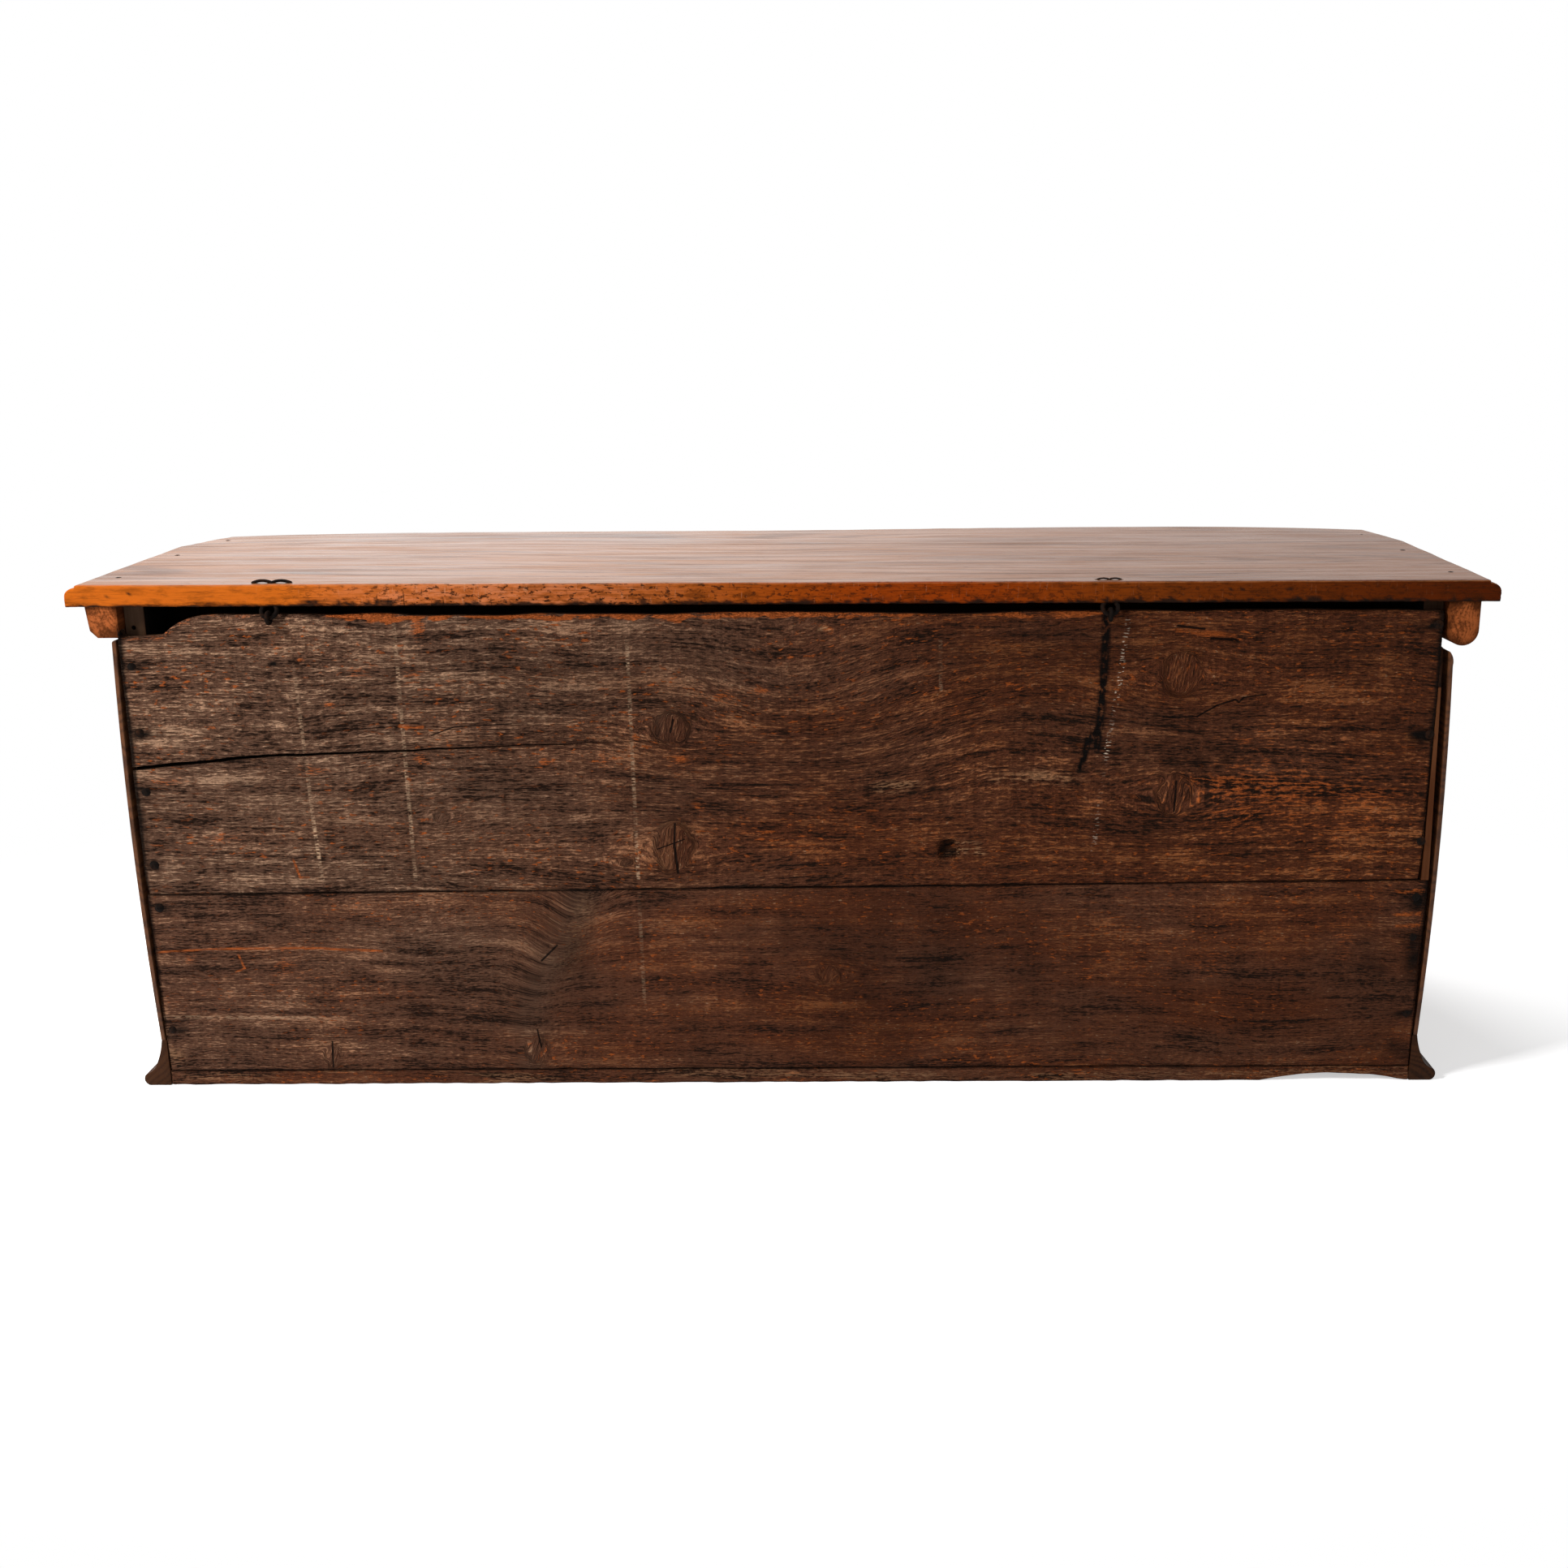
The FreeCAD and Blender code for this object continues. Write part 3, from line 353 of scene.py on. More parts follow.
class Tree:
    """Adds nodes to one tree and joins them."""

    def __init__(self, tree):
        self.tree = tree

    def link(self, value, socket):
        """Joins an output to an input."""
        self.tree.links.new(value, socket)

    def node(self, kind, inputs=None, **settings):
        """A node with its settings, and its inputs set or linked by name or number."""
        made = self.tree.nodes.new(kind)
        for key, value in settings.items():
            setattr(made, key, value)
        for key, value in (inputs or {}).items():
            if isinstance(value, bpy.types.NodeSocket):
                self.link(value, made.inputs[key])
            else:
                made.inputs[key].default_value = value
        return made

    def group(self, tree, inputs):
        """A shared effect with its own values."""
        return self.node("ShaderNodeGroup", inputs, node_tree=tree).outputs

    def math(self, operation, *values, clamp=False):
        """The result of a sum on values or sockets."""
        inputs = dict(enumerate(values))
        return self.node("ShaderNodeMath", inputs, operation=operation, use_clamp=clamp).outputs[0]

    def plus(self, first, second):
        """Two values added."""
        return self.math("ADD", first, second)

    def minus(self, first, second):
        """One value less another."""
        return self.math("SUBTRACT", first, second)

    def times(self, first, second):
        """One value times another."""
        return self.math("MULTIPLY", first, second)

    def weigh(self, *parts):
        """The sum of values that each have a weight."""
        total, *others = [self.times(value, weight) for value, weight in parts]
        for other in others:
            total = self.plus(total, other)
        return total

    def sway(self, value, uneven, weight):
        """A value moved up and down by uneven values about their middle."""
        return self.plus(value, self.times(self.minus(uneven, 0.5), weight))

    def vector(self, operation, *values, out=0):
        """The result of a sum on places."""
        return self.node("ShaderNodeVectorMath", dict(enumerate(values)), operation=operation).outputs[out]

    def split(self, vector):
        """The three values of a place or a colour."""
        return tuple(self.node("ShaderNodeSeparateXYZ", {0: vector}).outputs)

    def stretch(self, place, scale, move=(0, 0, 0), turn=(0, 0, 0)):
        """A place turned, stretched and moved."""
        inputs = {"Vector": place, "Location": move, "Rotation": turn, "Scale": scale}
        return self.node("ShaderNodeMapping", inputs).outputs[0]

    def noise(self, place, scale, detail=3.0, rough=0.55, distort=0.0, move=(0, 0, 0)):
        """Uneven values from 0 to 1 over a stretched place."""
        place = self.stretch(place, scale, move)
        inputs = {"Vector": place, "Scale": 1.0, "Detail": detail, "Roughness": rough, "Distortion": distort}
        return self.node("ShaderNodeTexNoise", inputs).outputs["Fac"]

    def fit(self, value, low, high, to_low=0.0, to_high=1.0):
        """A value moved softly from one range to another."""
        inputs = {"Value": value, "From Min": low, "From Max": high, "To Min": to_low, "To Max": to_high}
        return self.node("ShaderNodeMapRange", inputs, interpolation_type="SMOOTHSTEP").outputs["Result"]

    def mix(self, share, first, second):
        """Two colours mixed by a share."""
        inputs = {0: share, 6: full_colour(first), 7: full_colour(second)}
        return self.node("ShaderNodeMix", inputs, data_type="RGBA").outputs[2]

    def attribute(self, name, output="Fac"):
        """Values that the mesh holds point by point."""
        return self.node("ShaderNodeAttribute", attribute_name=name, attribute_type="GEOMETRY").outputs[output]

    def place(self):
        """The place on the object."""
        return self.node("ShaderNodeTexCoord").outputs["Object"]


def full_colour(value):
    """A colour with its fourth number, or a socket as it is."""
    return value if isinstance(value, bpy.types.NodeSocket) else (*value[:3], 1.0)


def dim(colour, *shares):
    """A darker colour, by one share or by one each for red, green and blue."""
    return [value * share for value, share in zip(colour, shares if len(shares) > 1 else shares * 3)]


def new_group(name, inputs, outputs):
    """A new node group with its sockets: its tree, its inputs and its outputs."""
    group = bpy.data.node_groups.new(name, "ShaderNodeTree")
    for socket, kind, default in inputs:
        made = group.interface.new_socket(name=socket, in_out="INPUT", socket_type=kind)
        if default is not None:
            made.default_value = default
    for socket in outputs:
        group.interface.new_socket(name=socket, in_out="OUTPUT", socket_type="NodeSocketFloat")
    tree = Tree(group)
    given = tree.node("NodeGroupInput").outputs
    result = tree.node("NodeGroupOutput").inputs
    return tree, given, result


def timber_grain_group():
    """Grain of planed timber that runs along X: growth bands, fibres, pores and slow shade."""
    if "Timber grain" in bpy.data.node_groups:
        return bpy.data.node_groups["Timber grain"]
    inputs = (("Place", "NodeSocketVector", None), ("Bands", "NodeSocketFloat", 26.0))
    tree, given, result = new_group("Timber grain", inputs, ("Figure", "Fibre", "Pores", "Cloud"))
    place = given["Place"]
    field = tree.noise(place, (0.75, 8.0, 8.0), detail=1.5, rough=0.35, distort=0.15)
    waver = tree.noise(place, (9.0, 60.0, 60.0), detail=2.0)
    field = tree.weigh((field, given["Bands"]), (waver, 0.35))
    rings = tree.math("SINE", tree.times(field, 2 * math.pi))
    tree.link(tree.fit(rings, -0.6, 1.1), result["Figure"])
    fibre = tree.noise(place, (11.0, 420.0, 420.0), detail=4.0, rough=0.65)
    tree.link(fibre, result["Fibre"])
    pores = tree.noise(place, (62.0, 1300.0, 1300.0), detail=2.0)
    tree.link(tree.fit(pores, 0.60, 0.72), result["Pores"])
    cloud = tree.noise(place, (2.0, 11.0, 11.0), detail=4.0, rough=0.6)
    tree.link(cloud, result["Cloud"])
    return tree.tree


def weathered_grain_group():
    """Grain of a rough, weathered board that runs along X: raised fibres, torn ends, specks and slow shade."""
    if "Weathered grain" in bpy.data.node_groups:
        return bpy.data.node_groups["Weathered grain"]
    inputs = (("Place", "NodeSocketVector", None),)
    tree, given, result = new_group("Weathered grain", inputs, ("Fibre", "Torn", "Specks", "Cloud"))
    place = given["Place"]
    rows = tree.noise(place, (16.0, 240.0, 480.0), detail=1.5, rough=0.5, distort=0.1)
    fine = tree.noise(place, (92.0, 400.0, 540.0), detail=1.2, rough=0.5, distort=0.12)
    patch = tree.noise(place, (17.0, 60.0, 75.0), detail=3.0, rough=0.6)
    fibre = tree.weigh((rows, 0.40), (fine, 0.50), (patch, 0.10))
    tree.link(tree.fit(fibre, 0.34, 0.66), result["Fibre"])
    torn = tree.noise(place, (150.0, 500.0, 620.0), detail=2.0, rough=0.6, distort=0.3)
    tree.link(tree.fit(torn, 0.31, 0.69), result["Torn"])
    specks = tree.noise(place, (85.0, 200.0, 260.0), detail=2.5, move=(3.0, 1.0, 7.0))
    tree.link(tree.fit(specks, 0.60, 0.68), result["Specks"])
    cloud = tree.noise(place, (3.0, 8.0, 9.0), detail=3.0, rough=0.5)
    tree.link(tree.fit(cloud, 0.30, 0.70), result["Cloud"])
    return tree.tree


def line_mark_group():
    """A thin straight mark between two places on the back."""
    if "Line mark" in bpy.data.node_groups:
        return bpy.data.node_groups["Line mark"]
    inputs = (
        ("Place", "NodeSocketVector", None), ("From", "NodeSocketVector", None), ("To", "NodeSocketVector", None),
        ("Width", "NodeSocketFloat", 0.002),
    )
    tree, given, result = new_group("Line mark", inputs, ("Mask",))
    flat = tree.vector("MULTIPLY", given["Place"], (1.0, 0.0, 1.0))
    run = tree.vector("SUBTRACT", given["To"], given["From"])
    reach = tree.vector("SUBTRACT", flat, given["From"])
    along = tree.vector("DOT_PRODUCT", reach, run, out=1)
    share = tree.math("DIVIDE", along, tree.vector("DOT_PRODUCT", run, run, out=1), clamp=True)
    scaled = tree.node("ShaderNodeVectorMath", {0: run, "Scale": share}, operation="SCALE").outputs[0]
    gap = tree.vector("LENGTH", tree.vector("SUBTRACT", reach, scaled), out=1)
    mask = tree.fit(gap, tree.times(given["Width"], 0.35), given["Width"], 1.0, 0.0)
    tree.link(mask, result["Mask"])
    return tree.tree


def worn_edge_group():
    """Uneven wear along edges, from the mesh's own values."""
    if "Worn edge" in bpy.data.node_groups:
        return bpy.data.node_groups["Worn edge"]
    inputs = (("Place", "NodeSocketVector", None), ("Rub", "NodeSocketFloat", 0.0))
    tree, given, result = new_group("Worn edge", inputs, ("Mask",))
    broken = tree.noise(given["Place"], (60.0, 60.0, 60.0), detail=4.0, rough=0.7)
    patchy = tree.noise(given["Place"], (9.0, 9.0, 9.0), detail=2.0)
    worn = tree.times(given["Rub"], tree.plus(broken, tree.times(patchy, 0.7)))
    tree.link(tree.fit(worn, 0.45, 0.85), result["Mask"])
    return tree.tree


# Turns that lay the grain, which runs along X, along another axis.
TURNS = {"X": (0.0, 0.0, 0.0), "Y": (0.0, 0.0, math.radians(90)), "Z": (0.0, math.radians(90), 0.0)}

# Colours of stains, wear and marks that have no setting of their own; among them are painted shade and the back's
# painted glints.
SHADE_BLACK, RUST = (0.0035, 0.0025, 0.002), (0.026, 0.011, 0.006)
BACK_STAIN_AND_SHADE, BACK_DRIP, BACK_SPLIT = (0.006, 0.004, 0.003), (0.0045, 0.003, 0.0025), (0.004, 0.0025, 0.002)
BACK_GLINT, BACK_BARE = (0.46, 0.29, 0.17), (0.50, 0.27, 0.135)
BACK_HIDDEN = ((0.045, 0.022, 0.011), (0.13, 0.068, 0.034))
LID_WORN, LID_STAIN = (0.40, 0.15, 0.05), (0.010, 0.006, 0.004)
EDGE_RUDDY, EDGE_DULL, EDGE_DEEP = (0.25, 0.026, 0.0008), (0.50, 0.185, 0.092), (0.035, 0.009, 0.0015)
EDGE_PIT, EDGE_ARRIS = (0.022, 0.007, 0.003), (0.016, 0.005, 0.0015)
EDGE_NICKS = ((0.20, 0.070, 0.030), (0.55, 0.24, 0.12))

# Depths in Y between which painted shade darkens the end boards towards the back, and between which it eases at
# their back ends.
SHADE_GROWS, SHADE_ENDS = (0.02, 0.17), (0.2262, 0.2276)
# Heights between which the darkening of the lid's back edge fades out above its lower arris.
LID_ARRIS = (0.5775, 0.5835)


def new_material(name, specular):
    """A material with its surface shader, and the tree to build on."""
    material = bpy.data.materials.new(name)
    material.use_nodes = True
    tree = Tree(material.node_tree)
    shader = material.node_tree.nodes["Principled BSDF"]
    shader.inputs["Specular IOR Level"].default_value = specular
    return material, tree, shader


def join(tree, shader, colour, roughness, height, depth, strength=0.7):
    """Links colour, roughness and a bump height to a surface shader."""
    bump = tree.node("ShaderNodeBump", {"Height": height, "Distance": depth, "Strength": strength})
    tree.link(colour, shader.inputs["Base Color"])
    tree.link(roughness, shader.inputs["Roughness"])
    tree.link(bump.outputs["Normal"], shader.inputs["Normal"])


def timber(name, light, dark, along, bands=26.0, rough=(0.32, 0.55), specular=0.25, pores=0.6, shift=(0, 0, 0)):
    """Planed and waxed timber with its grain along one axis and its edges worn."""
    material, tree, shader = new_material(name, specular)
    place = tree.place()
    turned = tree.stretch(place, (1.0, 1.0, 1.0), move=shift, turn=TURNS[along])
    grain = tree.group(timber_grain_group(), {"Place": turned, "Bands": bands})
    worn = tree.group(worn_edge_group(), {"Place": place, "Rub": tree.attribute("rub")})["Mask"]
    share = tree.weigh((grain["Figure"], 0.25), (grain["Fibre"], 0.65))
    share = tree.sway(share, grain["Cloud"], 0.7)
    colour = tree.mix(tree.fit(share, 0.12, 0.85), light, dark)
    colour = tree.mix(tree.times(grain["Pores"], pores), colour, dim(dark, 0.35))
    rubbed = [min(1.0, value * 1.35) for value in light]
    colour = tree.mix(tree.times(worn, 0.65), colour, rubbed)
    grime = tree.fit(tree.noise(place, (6.0, 6.0, 6.0), detail=5.0, rough=0.7), 0.5, 0.75)
    colour = tree.mix(tree.times(grime, 0.3), colour, dim(dark, 0.5))
    roughness = tree.fit(tree.plus(tree.times(grain["Fibre"], 0.6), grime), 0.1, 1.2, *rough)
    height = tree.minus(tree.times(grain["Fibre"], 0.5), grain["Pores"])
    join(tree, shader, colour, roughness, height, 0.00022)
    return material


def cleat_wood(name, light, dark, low, high):
    """Rough wood of a cleat, with speckled end grain that darkens to the rim."""
    material, tree, shader = new_material(name, 0.04)
    place = tree.place()
    turned = tree.stretch(place, (1.0, 1.0, 1.0), turn=TURNS["Y"])
    grain = tree.group(timber_grain_group(), {"Place": turned, "Bands": 90.0})
    speckle = tree.noise(place, (520.0, 30.0, 420.0), detail=3.0, rough=0.7)
    share = tree.weigh((grain["Figure"], 0.10), (speckle, 0.75))
    blotch = tree.noise(place, (60.0, 20.0, 60.0), detail=3.0, rough=0.6)
    share = tree.sway(share, blotch, 0.9)
    middle, size = (low + high) / 2, (high - low) / 2
    reach = tree.vector("SUBTRACT", place, middle)
    reach = tree.vector("MULTIPLY", reach, (1 / size.x, 0.0, 1 / size.z))
    rim = tree.sway(tree.vector("LENGTH", reach, out=1), blotch, 0.9)
    colour = tree.mix(tree.fit(share, 0.28, 0.62), light, dark)
    colour = tree.mix(tree.fit(rim, 0.58, 1.08, 0.0, 0.85), colour, dim(dark, 0.5))
    roughness = tree.fit(speckle, 0.2, 0.8, 0.65, 0.9)
    join(tree, shader, colour, roughness, speckle, 0.0006)
    return material


def dry_wood(name, colour, along, rough=0.72, dirt=0.5, painted_shade=False):
    """Dry, unfinished wood of the hidden boards, with its grain along one axis."""
    material, tree, shader = new_material(name, 0.1)
    place = tree.place()
    turned = tree.stretch(place, (1.0, 1.0, 1.0), turn=TURNS[along])
    grain = tree.group(timber_grain_group(), {"Place": turned, "Bands": 24.0})
    share = tree.weigh((grain["Figure"], 0.36), (grain["Fibre"], 0.6))
    tint = tree.mix(tree.fit(share, 0.1, 0.9), colour, dim(colour, 0.55, 0.45, 0.36))
    soil = tree.fit(tree.noise(place, (7.0, 7.0, 7.0), detail=5.0, rough=0.7), 0.42, 0.78)
    tint = tree.mix(tree.times(soil, dirt), tint, dim(colour, 0.3, 0.24, 0.2))
    # Painted shade: the end boards darken towards the back of the chest and lighten a little at their back ends.
    if painted_shade:
        deep = tree.split(place)[1]
        black = tree.times(tree.fit(deep, *SHADE_GROWS), tree.fit(deep, *SHADE_ENDS, 1.0, 0.60))
        tint = tree.mix(black, tint, SHADE_BLACK)
    roughness = tree.fit(grain["Fibre"], 0.2, 0.8, rough - 0.08, rough + 0.12)
    height = tree.plus(grain["Fibre"], tree.times(grain["Figure"], 0.3))
    join(tree, shader, tint, roughness, height, 0.0003)
    return material


def wrought_iron(colour):
    """Dull black iron with a hammered skin and brown rust in its hollows."""
    material, tree, shader = new_material("Wrought iron", 0.04)
    place = tree.place()
    dents = tree.noise(place, (260.0, 260.0, 260.0), detail=3.0)
    rust = tree.fit(tree.noise(place, (75.0, 75.0, 75.0), detail=5.0, rough=0.7), 0.46, 0.68)
    tint = tree.mix(rust, colour, RUST)
    tint = tree.mix(tree.fit(dents, 0.4, 0.75), tint, dim(colour, 0.5))
    join(tree, shader, tint, tree.fit(rust, 0.0, 1.0, 0.5, 0.85), dents, 0.0005)
    return material


# Places of the marks on the back, in metres from the middle and from the floor.

# Width, colour and limits of the dots of the two kinds of drawn line.
SAW, CHALK = (0.0030, (0.56, 0.36, 0.22), (0.44, 0.56)), (0.0041, (0.84, 0.66, 0.50), (0.57, 0.64))
# Drawn lines: start, end, kind and strength. Drips, splits and scratches: start, end and width.
SAW_LINES = (
    ((0.552, 0.511), (0.545, 0.330), SAW, 0.5), ((0.545, 0.330), (0.540, 0.257), SAW, 1.0),
    ((0.436, 0.557), (0.432, 0.258), SAW, 0.62), ((0.176, 0.539), (0.173, 0.258), SAW, 0.8),
    ((-0.386, 0.560), (-0.379, 0.490), CHALK, 1.0), ((-0.379, 0.490), (-0.366, 0.400), CHALK, 1.0),
    ((-0.176, 0.536), (-0.177, 0.480), SAW, 0.4), ((-0.366, 0.400), (-0.355, 0.290), CHALK, 0.35),
)
LOW_SAW_LINES = (((0.173, 0.240), (0.171, 0.099), SAW, 0.22), ((0.742, 0.088), (0.560, 0.086), SAW, 0.5))
RUST_DRIPS = (
    ((-0.362, 0.567), (-0.361, 0.500), 0.0078), ((-0.361, 0.500), (-0.358, 0.436), 0.0075),
    ((-0.358, 0.436), (-0.3555, 0.411), 0.0070), ((-0.357, 0.432), (-0.346, 0.420), 0.0075),
    ((-0.346, 0.420), (-0.340, 0.398), 0.0062), ((-0.340, 0.398), (-0.3365, 0.389), 0.0030),
    ((-0.3362, 0.3866), (-0.3360, 0.3862), 0.0042),
)
SPLITS = (
    ((0.1265, 0.4465), (0.1300, 0.4325), 0.0013), ((0.1281, 0.3240), (0.1297, 0.3010), 0.0015),
    ((0.1297, 0.3010), (0.1262, 0.2650), 0.0018), ((0.1490, 0.2940), (0.1180, 0.3055), 0.0009),
    ((-0.4480, 0.3720), (-0.4466, 0.3370), 0.0016), ((-0.4297, 0.4473), (-0.4684, 0.4480), 0.0010),
    ((-0.4684, 0.4480), (-0.4893, 0.4602), 0.0014), ((-0.4893, 0.4602), (-0.5104, 0.4676), 0.0014),
    ((-0.5104, 0.4676), (-0.5148, 0.4645), 0.0015), ((-0.5148, 0.4645), (-0.5197, 0.4697), 0.0015),
    ((-0.5197, 0.4697), (-0.5450, 0.4735), 0.0012),
    ((0.4019, 0.4297), (0.3754, 0.4394), 0.0010), ((0.3754, 0.4394), (0.3107, 0.4426), 0.0009),
    ((-0.4424, 0.5515), (-0.4720, 0.5480), 0.0019), ((-0.4800, 0.5372), (-0.5108, 0.5352), 0.0014),
)
LOW_SCRATCHES = (
    ((0.743, 0.1695), (0.668, 0.1735), 0.0020), ((0.668, 0.1735), (0.570, 0.1745), 0.0020),
    ((0.570, 0.1745), (0.478, 0.1700), 0.0022), ((0.647, 0.1660), (0.641, 0.1490), 0.0018),
    ((0.641, 0.1490), (0.652, 0.1445), 0.0016), ((0.735, 0.2455), (0.668, 0.2450), 0.0020),
)
SCRATCHES = (
    ((0.5720, 0.2830), (0.5660, 0.2610), 0.0020), ((0.5660, 0.2610), (0.5560, 0.2605), 0.0022),
    ((0.4370, 0.4405), (0.4120, 0.4395), 0.0030), ((-0.0470, 0.5500), (-0.0520, 0.5480), 0.0055),
    ((-0.4600, 0.5450), (-0.4900, 0.5420), 0.0046), ((-0.4900, 0.5420), (-0.5070, 0.5395), 0.0036),
)
LOW_SPLITS = (
    ((0.2901, 0.1573), (0.2713, 0.1761), 0.0016), ((0.3000, 0.0700), (0.2960, 0.0480), 0.0011),
    ((0.5450, 0.0560), (0.5465, 0.0235), 0.0014),
)
# Knots and spots: middle, half width and half height, and the share of a spot.
UPPER_KNOTS = (
    (0.129, 0.436, 0.022, 0.021), (0.130, 0.296, 0.024, 0.036), (-0.448, 0.496, 0.025, 0.030),
    (-0.447, 0.357, 0.022, 0.030), (0.398, 0.333, 0.010, 0.008), (0.186, 0.278, 0.007, 0.005),
)
LOWER_KNOTS = ((0.302, 0.045, 0.014, 0.020), (0.546, 0.038, 0.010, 0.018), (-0.048, 0.139, 0.014, 0.012))
WARM_SPOTS = (
    (0.545, 0.517, 0.006, 0.004, 0.8), (0.408, 0.551, 0.011, 0.016, 0.62), (0.416, 0.500, 0.016, 0.006, 0.60),
    (0.120, 0.400, 0.014, 0.006, 0.72), (0.207, 0.400, 0.012, 0.010, 0.50), (0.700, 0.378, 0.030, 0.007, 0.50),
    (0.416, 0.405, 0.010, 0.009, 0.62), (0.274, 0.398, 0.012, 0.007, 0.62), (0.543, 0.390, 0.022, 0.006, 0.50),
    (0.478, 0.504, 0.030, 0.008, 0.46), (0.515, 0.465, 0.014, 0.004, 0.60), (-0.500, 0.372, 0.06, 0.012, 0.22),
    (-0.600, 0.345, 0.18, 0.065, 0.48), (-0.650, 0.535, 0.05, 0.012, 0.40), (-0.540, 0.430, 0.05, 0.030, 0.24),
    (0.068, 0.474, 0.018, 0.008, 0.55), (0.025, 0.479, 0.014, 0.005, 0.50), (0.100, 0.346, 0.014, 0.010, 0.52),
    (0.036, 0.314, 0.030, 0.004, 0.58), (-0.003, 0.296, 0.040, 0.003, 0.60), (0.640, 0.310, 0.05, 0.006, 0.40),
)
UPPER_STAINS = (
    (-0.471, 0.396, 0.009, 0.007, 0.60), (-0.503, 0.399, 0.009, 0.009, 0.55), (-0.722, 0.423, 0.013, 0.009, 0.95),
    (-0.300, 0.525, 0.160, 0.030, 0.22), (-0.660, 0.530, 0.090, 0.040, 0.30), (-0.080, 0.450, 0.340, 0.150, 0.16),
    (0.270, 0.424, 0.100, 0.006, 0.35), (0.620, 0.372, 0.008, 0.004, 0.70),
)
UPPER_PALE = (
    (-0.58, 0.35, 0.24, 0.08, 1.0), (0.62, 0.49, 0.20, 0.06, 0.35), (-0.20, 0.52, 0.30, 0.06, -0.28),
    (0.50, 0.33, 0.28, 0.06, -0.50), (-0.08, 0.45, 0.32, 0.15, 0.22),
)
LOWER_STAINS = (
    (-0.698, 0.146, 0.018, 0.006, 0.40), (-0.737, 0.2225, 0.012, 0.0075, 1.0), (-0.7375, 0.153, 0.011, 0.030, 0.90),
    (-0.687, 0.150, 0.016, 0.032, 0.22), (-0.150, 0.150, 0.140, 0.090, 0.20), (-0.360, 0.180, 0.050, 0.040, 0.16),
    (-0.580, 0.090, 0.050, 0.030, 0.15),
)
LOWER_SHADES = ((0.255, 0.165, 0.018, 0.035, 0.25), (-0.055, 0.130, 0.050, 0.120, 0.22))
LOWER_WARM = (
    (0.595, 0.152, 0.014, 0.010, 0.40), (0.705, 0.160, 0.010, 0.008, 0.45), (0.560, 0.140, 0.050, 0.025, 0.25),
    (0.360, 0.100, 0.070, 0.020, 0.20), (-0.484, 0.147, 0.050, 0.022, 0.36), (-0.654, 0.177, 0.018, 0.045, 0.40),
)
RISING_GRAIN, TORN_HOLE = (-0.13, 0.46, 0.20, 0.09), (-0.188, 0.2915, 0.0125, 0.0135)
CHIP, SMALL_HOLE = (-0.047, 0.549, 0.009, 0.005), (0.574, 0.513, 0.006, 0.004)
SOFT_SHADE = (0.29, 0.495, 0.13, 0.045)
LOW_STAIN, LOW_BARE = (-0.696, 0.043, 0.010, 0.006), (0.736, 0.039, 0.012, 0.010)
# Paths of the drying crack, the burl and a gouge, and paths of splinters and bands with their widths.
CRACK = ((0.155, 0.423), (0.433, 0.412), (0.591, 0.406), (0.747, 0.392))
# Where the crack starts and where it is fully open.
CRACK_START, CRACK_END = CRACK[0][0], 0.743
BURL = ((0.233, 0.240), (0.258, 0.192), (0.286, 0.140), (0.303, 0.095), (0.312, 0.030))
GOUGE = ((-0.441, 0.547), (-0.511, 0.537))
SPLINTERS = (
    (((-0.190, 0.3005), (-0.222, 0.2965)), 0.0030), (((-0.183, 0.2830), (-0.204, 0.2890)), 0.0032),
    (((-0.200, 0.2925), (-0.228, 0.2880)), 0.0028),
)
BARE_BAND = ((-0.104, 0.363), (-0.160, 0.3765), (-0.225, 0.372), (-0.294, 0.378), (-0.356, 0.367)), 0.0085
PALE_BAND = ((-0.100, 0.376), (-0.21, 0.384), (-0.345, 0.380)), 0.008
LOW_DARK_BAND = ((-0.722, 0.043), (-0.745, 0.030)), 0.010
LOW_BARE_BAND = ((0.236, 0.225), (0.262, 0.150)), 0.014
# Heights of the worn streaks at the end of the lower board.
LOW_STREAKS = (0.2375, 0.210, 0.1955)


def line_between(tree, place, start, end, width):
    """Mask of a straight mark between two places on the back."""
    ends = {"From": (start[0], 0.0, start[1]), "To": (end[0], 0.0, end[1]), "Width": width}
    return tree.group(line_mark_group(), {"Place": place, **ends})["Mask"]


def mark_lines(tree, place, colour, settings, saw_lines, scratches, drips):
    """The colour of a back board with its saw and chalk lines, scratches and runs of stain laid on."""
    dots = tree.noise(place, (130.0, 90.0, 520.0), detail=1.0)
    worn_off = tree.fit(tree.noise(place, (9.0, 9.0, 24.0), detail=2.0), 0.35, 0.62, 0.15, 1.0)
    for start, end, (width, drawn, limits), strength in saw_lines:
        mask = tree.times(line_between(tree, place, start, end, width), tree.fit(dots, *limits))
        colour = tree.mix(tree.times(mask, tree.times(worn_off, strength)), colour, drawn)
    broken = tree.fit(tree.noise(place, (60.0, 60.0, 420.0), detail=2.0), 0.34, 0.56, 0.1, 0.9)
    drip_edge = tree.fit(tree.noise(place, (210.0, 210.0, 130.0), detail=3.0), 0.30, 0.52)
    for lines, ragged, ink in ((scratches, broken, settings.fresh), (drips, drip_edge, BACK_DRIP)):
        for line in lines:
            colour = tree.mix(tree.times(line_between(tree, place, *line), ragged), colour, ink)
    return colour


